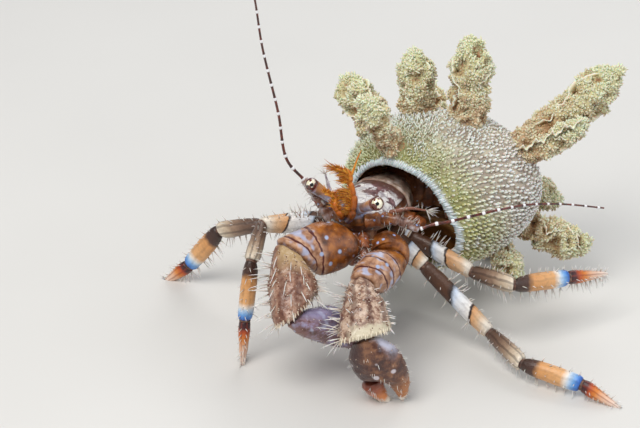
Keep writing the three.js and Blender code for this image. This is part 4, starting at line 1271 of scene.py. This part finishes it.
def fringe(segment, tile, seed, angle, span, count, length, each, lean, wander=0.16, thick=0.036):
    # tufts of bristles in a row along one margin of a segment
    rng = np.random.default_rng(seed)
    at = np.repeat(np.linspace(*span, count), each) + rng.normal(0, 0.008, count * each)
    turn = math.radians(angle) + rng.normal(0, wander, count * each)
    spot, out, map = placesOn(segment, at, turn)
    ways = unit(out + segment[2] * lean + rng.normal(0, 0.13, (len(at), 3)))
    bristles(spot - out * 0.04, ways, length * rng.uniform(0.65, 1.1, len(at)), thick, seed, tile, map, 0.14)


def membrane(centre, before, after, wide):
    # a soft ball in a joint, a little flattened along the limb
    membranes.append(shell(ball(centre, unit(before + after), wide, 0.8, 12, 20, 0.05, viewerward), paint=1))


def bandPaint(name, stops, mottle=0.18, lines=0.14, slant=0.0, ink="2d1a14"):
    # bands across a limb at shares of its length, clouded, slanted over its top, and with dark lines along it
    p = Paint(name, Roughness=0.36, Coat_Weight=0.2, Coat_Roughness=0.2)
    value = p.stirred(p.plus("along", p.times("top", slant)), 0.7, 0.07, 3, 0.5)
    tone = p.ramp(value, stops)
    tone = p.mix(p.times(p.between(p.noise(0.5, 4), 0.45, 0.7), mottle), tone, "3a241a")
    tone = p.lined(tone, ink, lines, 7.0, (2.0, 5.0), 0.2)
    return p.finish(tone, p.noise(0.22, 5, 0.65), 0.08)


def merusBands(name, white):
    # brown, a white band between two dark ones, and pale tan beyond
    start, end = white
    stops = [(0, "4b2f20"), (start - 0.1, "53331f"), (start - 0.05, "1d100c"), (start, "c8d6ea"),
             (start + 0.05, "e6ebf2"), (end - 0.02, "efebe6"), (end, "2a1511"), (end + 0.018, "2a1511"),
             (end + 0.035, "d8a06c"), (0.88, "dcb892"), (1, "e9dfd0")]
    return bandPaint(name + "_merus", stops, slant=0.07)


def carpusBands():
    # brown, fading to cream at the far end, with strong dark lines
    stops = [(0, "553c30"), (0.35, "6f5443"), (0.6, "9b806a"), (0.8, "cdb9a0"), (1, "e9dcc8")]
    return bandPaint("leg_carpus", stops, 0.25, 0.5)


def propodusBands():
    # dark, then a long orange band, then white and two blues
    stops = [(0, "35211a"), (0.22, "4a2c20"), (0.31, "d99b5e"), (0.68, "e4ad74"), (0.76, "f1e6da"),
             (0.82, "c0d8f0"), (0.89, "74abe6"), (0.95, "3b7dd4"), (1, "2a5fb4")]
    return bandPaint("leg_propodus", stops)


def dactylBands():
    # dark red, then orange fading to cream, with red lines
    stops = [(0, "2c0d14"), (0.12, "471217"), (0.2, "b8480e"), (0.36, "dd8430"), (0.52, "e8b795"),
             (1, "f6ebe2")]
    return bandPaint("leg_dactyl", stops, 0.05, 0.45, 0.0, "8a3018")


clawColours = {
    "right": {
        "stripes": (0.62, 0.84),
        "carpus": {"ground": [(0.34, "5c3325"), (0.46, "865a45"), (0.57, "a67f69"), (0.7, "c6a896")],
                   "lines": 0.45, "edge": (0.5, 0.1), "pale": "b2966c"},
        # patches: the share of the palm's pale blue painted highlight
        "palm": {"ground": [(0.38, "5d3a36"), (0.5, "85646c"), (0.62, "9b92b2")], "lines": 0.3,
                 "far": "8d84a6", "near": "7b4e42", "patches": 0.7, "spots": "9caad8", "spotGap": 1.4},
        "finger": ("4a2733", "9a5a45"),
    },
    "left": {
        "stripes": (0.36, 0.57, 0.8),
        "carpus": {"ground": [(0.36, "5f3b2e"), (0.46, "93705d"), (0.54, "c0a590"), (0.68, "dcc8b6")],
                   "lines": 0.6, "edge": (0.77, 0.87), "pale": "cdc2a8"},
        # the palm's far side here is a near-black painted shade
        "palm": {"ground": [(0.38, "3b1d17"), (0.5, "5f3828"), (0.64, "8f6142")], "lines": 0.2,
                 "far": "38120f", "near": "b6b6c9", "patches": 0.0, "spots": "cfc6cc", "spotGap": 1.9},
        "finger": ("451a12", "a04a1f"),
    },
}


def mottled(name, ground):
    # a glossy shell clouded with fine noise
    p = Paint(name, Roughness=0.34, Coat_Weight=0.35, Coat_Roughness=0.18)
    return p, p.clouds(ground, 0.9, 5, 0.65)


def clawBasePaint():
    # amber with pale blue spots
    p, tone = mottled("claw_base", [(0.36, "4c260e"), (0.5, "804619"), (0.64, "a5662c")])
    return p.finish(p.turned(tone, p.cells(1.0), 0.2, 0.13, "a9b8e4"), p.noise(0.2, 4), 0.06)


def clawMerusPaint(side, stripes):
    # dark red rings across the segment, a patchy pale blue band beyond each, and spots, on a clouded ground
    p = Paint("claw_merus_" + side, Roughness=0.34, Coat_Weight=0.25, Coat_Roughness=0.12)
    value = p.plus(p.stirred("along", 1.6, 0.16, 2, 0.5), p.times("side", 0.05))
    tone = p.clouds([(0.35, "84583d"), (0.5, "ad7f60"), (0.66, "caa184")], 0.7, 4)
    dark = p.clouds([(0.35, "4a2408"), (0.5, "824611"), (0.66, "a96620")], 1.1, 4)
    tone = p.turned(dark, value, stripes[0] - 0.12, stripes[0] - 0.02, tone)
    line, band = 0.0, 0.0
    for stripe in stripes:
        line = p.math("MAXIMUM", line, p.between(p.apart(value, stripe), 0.024, 0.013))
        band = p.math("MAXIMUM", band, p.between(p.apart(value, stripe + 0.085), 0.08, 0.05))
    patches = p.times(p.between(p.noise(1.2, 1), 0.47, 0.62), 0.85)
    tone = p.mix(p.times(patches, band), tone, "aab2cf")
    tone = p.mix(line, tone, "4e130d")
    return p.finish(p.turned(tone, p.cells(1.5), 0.2, 0.1, "a3b2d3"), p.noise(0.2, 4), 0.05)


def clawCarpusPaint(side, colours):
    # dark lines along the segment, and a pale edge at one end
    p, tone = mottled("claw_carpus_" + side, colours["ground"])
    tone = p.lined(tone, "4d281d", colours["lines"], 8.0, (1.6, 7.0), 0.1)
    edge = p.between(p.stirred("along", 0.5, 0.14, 3, 0.5), *colours["edge"])
    tone = p.mix(p.times(edge, p.between("side", -0.85, -0.4)), tone, colours["pale"])
    return p.finish(tone, p.noise(0.2, 4), 0.06)


def clawPalmPaint(side, colours):
    # lines along the palm, its far side and its root in other colours (on the left palm the far side is a
    # near-black painted shade), pale blue painted highlight patches, spots, and a warm end with a white tip
    p, tone = mottled("claw_palm_" + side, colours["ground"])
    tone = p.lined(tone, "4d281d", colours["lines"], 8.0, (1.6, 7.0), 0.1)
    # the far side in its own colour; on the left palm, a near-black painted shade
    edge = p.stirred("side", 1.0, 1.0, 3, 0.5)
    tone = p.turned(tone, edge, -0.1, 0.7, colours["far"])
    # painted highlight: soft pale blue patches, as many as the palm's share allows
    patches = p.between(p.noise(1.3, 2), 0.54, 0.68)
    tone = p.mix(p.times(patches, colours["patches"]), tone, "b4bbd8")
    root = p.times(p.between(edge, -0.5, -1.0), p.between("along", 0.36, 0.14))
    tone = p.mix(root, tone, colours["near"])
    tone = p.turned(tone, "along", 0.55, 0.85, "b36e34")
    tone = p.turned(tone, "along", 0.88, 0.92, "f3e8da")
    tone = p.turned(tone, p.cells(colours["spotGap"]), 0.2, 0.13, colours["spots"])
    return p.finish(tone, p.noise(0.2, 4), 0.06)


def clawFingerPaint(side, dark, warm):
    # dark at the root, warm along the finger and white at its point
    p = Paint("claw_finger_" + side, Roughness=0.28, Coat_Weight=0.4, Coat_Roughness=0.15)
    value = p.stirred("along", 0.6, 0.12, 3, 0.5)
    tone = p.ramp(value, [(0.55, dark), (0.7, warm), (0.84, "d9894e"), (0.9, "f1e3d2"), (1, "faf6ee")])
    return p.finish(tone, p.noise(0.2, 4), 0.05)


def thornPaint():
    # brown roots and pale points, some thorns dark and those of the rims pale
    p = Paint("thorn", Roughness=0.35)
    tone = p.ramp(p.plus("reach", p.times("shade", 0.5)), [(0.1, "7d5845"), (0.5, "b39680"), (1.2, "e2d5c6")])
    tone = p.turned(tone, "shade", 0.6, 0.7, "6f3a2a")
    return p.finish(p.mix("pale", tone, "e6dcc4"))


def jointPaint():
    # dull brown skin
    p = Paint("joint_skin", Roughness=0.5, Subsurface_Weight=0.15, Subsurface_Scale=0.0004)
    tone = p.clouds([(0.35, "38201a"), (0.5, "5e4034"), (0.66, "8a6c5a")], 0.4, 4)
    return p.finish(tone, p.noise(0.15, 4), 0.05)


def walkingLeg(number, name, leg, lowerPaints):
    # five segments from the body to the tip, a membrane in each joint and fringes along all but the first
    joints = [np.array(joint) for joint in leg["joints"]]
    ways = [None, *(unit(b - a) for a, b in zip(joints, joints[1:])), None]
    shells = []
    for i, part in enumerate(segmentNames):
        segment = aboveFloor(segmentGrid(joints[i], joints[i + 1], ways[i:i + 3], legRings[part], up,
                                         100 + number * 10 + i, 56, 44, 0.025, 0.05))
        shells.append(noted(segment, max(0, i - 1)))
        if i == 0:
            continue
        tile, tufted = 8 + number * 5 + i, 6 if i < 4 else 8
        membrane(joints[i], ways[i], ways[i + 1], 0.82 * legRings[part][0][2])
        if i == 1:
            fringe(segment, tile, 900 + number, 80, (0.3, 0.5), 4, 1.7, 2, 0.1, thick=0.055)
        for angle, (length, each) in legFringes.items():
            seed = 200 + number * 50 + i * 7 + angle
            fringe(segment, tile, seed, angle, (0.12, 0.92), tufted, length, each, 0.3, thick=0.062)
    paints = [merusBands(name, leg["white"]), *lowerPaints]
    makePiece(name, shells, paints, [f"{name}_{part}" for part in segmentNames])


def clawGrids(number, limb):
    # base, merus and carpus, then the palm with its fixed finger and the finger that moves
    joints, palm = [np.array(joint) for joint in limb["joints"]], limb["palm"]
    stops = [*joints, np.array(palm["tip"])]
    ways = [None, *(unit(b - a) for a, b in zip(stops, stops[1:]))]
    segments = []
    for i, make in enumerate(clawMakes):
        seed, profile = 150 + number * 10 + i, limb["rings"][i]
        segments.append(segmentGrid(joints[i], joints[i + 1], ways[i:i + 3], profile, viewerward, seed,
                                    84, 70, **make))
        if i:
            membrane(joints[i], ways[i], ways[i + 1], 0.86 * min(limb["rings"][i][0][1:]))
    membrane(joints[3], ways[3], ways[4], 0.55 * palm["high"])
    hand = handGrid(palmRings, joints[3], palm, ways[3], 180 + number, 84)
    finger = handGrid(fingerRings, joints[3], palm, None, 184 + number, 56)
    return [*segments, aboveFloor(hand), aboveFloor(finger)]


def fringeClaw(number, limb, segments):
    # long bristles on the carpus, and short ones on both parts of the hand and on the merus
    _, merus, carpus, palm, finger = segments
    tile = 30 + number * 6
    for angle, span, count, length, each, lean in limb["fringes"]:
        seed = 400 + number * 60 + angle
        fringe(carpus, tile, seed, angle, span, count, length, each, lean, 0.1, 0.085)
    for i, (hand, span) in enumerate(((palm, (0.2, 0.95)), (finger, (0.62, 0.96)))):
        for angle in (0, 90, 180, 270):
            fringe(hand, tile + 1 + i, 500 + number * 60 + angle + i, angle, span, 9, 0.6, 2, 0.4)
    for angle in (0, 330, 180):
        fringe(merus, tile + 3, 600 + number * 60 + angle, angle, (0.3, 0.9), 6, 0.6, 2, 0.3)


def thornClaw(number, segments):
    # small thorns in rows along the carpus, merus and palm, and two rings of long ones at the carpus's rim
    rng = np.random.default_rng(700 + number)
    _, merus, carpus, palm, _ = segments
    for segment, count, size in ((carpus, 330, 0.17), (merus, 40, 0.09), (palm, 130, 0.13)):
        at = rng.uniform(0.1, 0.93, count)
        turn = (rng.integers(0, 14, count) + rng.normal(0, 0.12, count)) * math.pi / 7
        spot, out, map = placesOn(segment, at, turn)
        ways = unit(out + unit(segment[0][-1].mean(0) - segment[0][0].mean(0)) * 0.5)
        length = size * rng.uniform(0.7, 1.6, count)
        notes, where = {"shade": rng.random(count)}, onTile(len(thorns), 4, 0.05, map)
        profile = ((0, 1), (0.5, 0.7))
        thorns.append(tufts(spot - out * 0.03, ways, length, size * 0.42, 0.0, profile, 6, notes, where))
    for share, size, count in ((0.965, 0.55, 44), (0.92, 0.32, 26)):
        turn = ringAngles(count) + rng.normal(0, 0.05, count)
        spot, out, map = placesOn(carpus, np.full(count, share), turn)
        length = size * rng.uniform(0.6, 1.3, count)
        notes = {"shade": rng.random(count), "pale": np.full(count, 0.4 + 0.5 * number)}
        ways, where = unit(out * 0.25 + carpus[2]), onTile(len(thorns), 4, 0.05, map)
        profile = ((0, 1), (0.4, 0.6), (0.75, 0.28))
        thorns.append(tufts(spot - out * 0.05, ways, length, 0.11, 0.0, profile, 6, notes, where))


def claw(number, side, limb, basePaint):
    # one claw's piece, its fringes and its thorns
    segments, colours = clawGrids(number, limb), clawColours[side]
    shells = [noted(segment, i) for i, segment in enumerate(segments)]
    paints = [basePaint, clawMerusPaint(side, colours["stripes"]), clawCarpusPaint(side, colours["carpus"]),
              clawPalmPaint(side, colours["palm"]), clawFingerPaint(side, *colours["finger"])]
    parts = [*clawSegments, "palm", "finger"]
    makePiece("claw" + side.capitalize(), shells, paints, [f"claw_{side}_{part}" for part in parts])
    fringeClaw(number, limb, segments)
    thornClaw(number, segments)


def fourthLeg(side, sign):
    # a small jointed leg folded against the shell
    points = [onCrab(ahead, sign * left, above) for ahead, left, above in fourthLegs["joints"]]
    grid, _ = jointed(points, fourthLegs["radii"], 60, 30, up, fourthLegs["cuts"], 90, 0.03)
    makePiece("leg_4_" + side, [shell(grid)], [mouthSkin], ["leg_4_" + side])


lowerPaints = [carpusBands(), propodusBands(), dactylBands()]
for number, (name, leg) in enumerate(walkingLegs.items()):
    walkingLeg(number, name, leg, lowerPaints)
clawBase = clawBasePaint()
for number, (side, limb) in enumerate(clawLimbs.items()):
    claw(number, side, limb, clawBase)
for side, sign in signs.items():
    fourthLeg(side, sign)
makePiece("clawThorns", thorns, [thornPaint()])
softPaints = [softPaint(), jointPaint()]
makePiece("softSkin", softShells() + membranes, softPaints, ["trunk_underside", "abdomen"])


def bristlePaint():
    # brown roots and white points
    p = Paint("bristle", Roughness=0.35, Subsurface_Weight=0.1, Subsurface_Scale=0.0002)
    height = p.plus("reach", p.times("shade", 0.3))
    return p.finish(p.ramp(height, [(0.05, "94806e"), (0.25, "d2c8bd"), (1.0, "f5f3f2")]))


makePiece("bristles", hairs, [bristlePaint()])


# Studio

studio = {"floor": 1.2, "target": (0.0, 0.0, 15.5), "elevation": 28.0, "distance": 250.0, "lens": 140.6}
lamps = {
    "keyLight": {"from": (-0.10, -0.16, 0.30), "size": 0.22, "power": 1.1, "colour": (1.0, 0.97, 0.93)},
    "fillLight": {"from": (0.30, -0.10, 0.16), "size": 0.30, "power": 0.4, "colour": (0.93, 0.96, 1.0)},
    "backLight": {"from": (0.10, 0.30, 0.24), "size": 0.24, "power": 0.6, "colour": (1.0, 1.0, 1.0)},
}
sky = {"colour": (0.82, 0.85, 0.9, 1), "strength": 0.35}
scene = bpy.context.scene
middle = toFrame(np.array(studio["target"]))


def floorPaint():
    # a pale grey, very slightly clouded
    p = Paint("floor", Roughness=0.8)
    return p.finish(p.clouds([(0.3, "d3d2cf"), (0.7, "d8d7d4")], 60))


def addFloor():
    # one large square, which is no part of the model
    half = studio["floor"] / 2
    mesh = bpy.data.meshes.new("floor")
    corners = [(-half, -half, 0), (half, -half, 0), (half, half, 0), (-half, half, 0)]
    mesh.from_pydata(corners, [], [(0, 1, 2, 3)])
    mesh.materials.append(floorPaint())
    floor = bpy.data.objects.new("floor", mesh)
    scene.collection.objects.link(floor)


def addLamp(name, lamp):
    # a soft square light that faces the model
    light = bpy.data.lights.new(name, "AREA")
    light.size, light.energy, light.color = lamp["size"], lamp["power"], lamp["colour"]
    made = bpy.data.objects.new(name, light)
    made.location = middle + lamp["from"]
    made.rotation_mode = "QUATERNION"
    made.rotation_quaternion = (-Vector(lamp["from"])).to_track_quat("-Z", "Y")
    scene.collection.objects.link(made)


def addSky():
    # an even, pale blue light from all round
    world = bpy.data.worlds.new("studio")
    world.use_nodes = True
    background = world.node_tree.nodes["Background"].inputs
    background["Color"].default_value, background["Strength"].default_value = sky["colour"], sky["strength"]
    scene.world = world


def addCamera():
    # a long lens that looks down on the model from the front
    lens = bpy.data.cameras.new("camera")
    lens.lens, lens.sensor_width, lens.clip_start, lens.clip_end = studio["lens"], 36.0, 0.01, 5.0
    camera = bpy.data.objects.new("camera", lens)
    tilt = math.radians(studio["elevation"])
    camera.location = middle + np.array([0, -math.cos(tilt), math.sin(tilt)]) * studio["distance"] * 0.001
    camera.rotation_euler = (math.radians(90 - studio["elevation"]), 0, 0)
    scene.collection.objects.link(camera)
    scene.camera = camera


addFloor()
for name, lamp in lamps.items():
    addLamp(name, lamp)
addSky()
addCamera()
scene.view_settings.view_transform = "Standard"
print("studio ready")
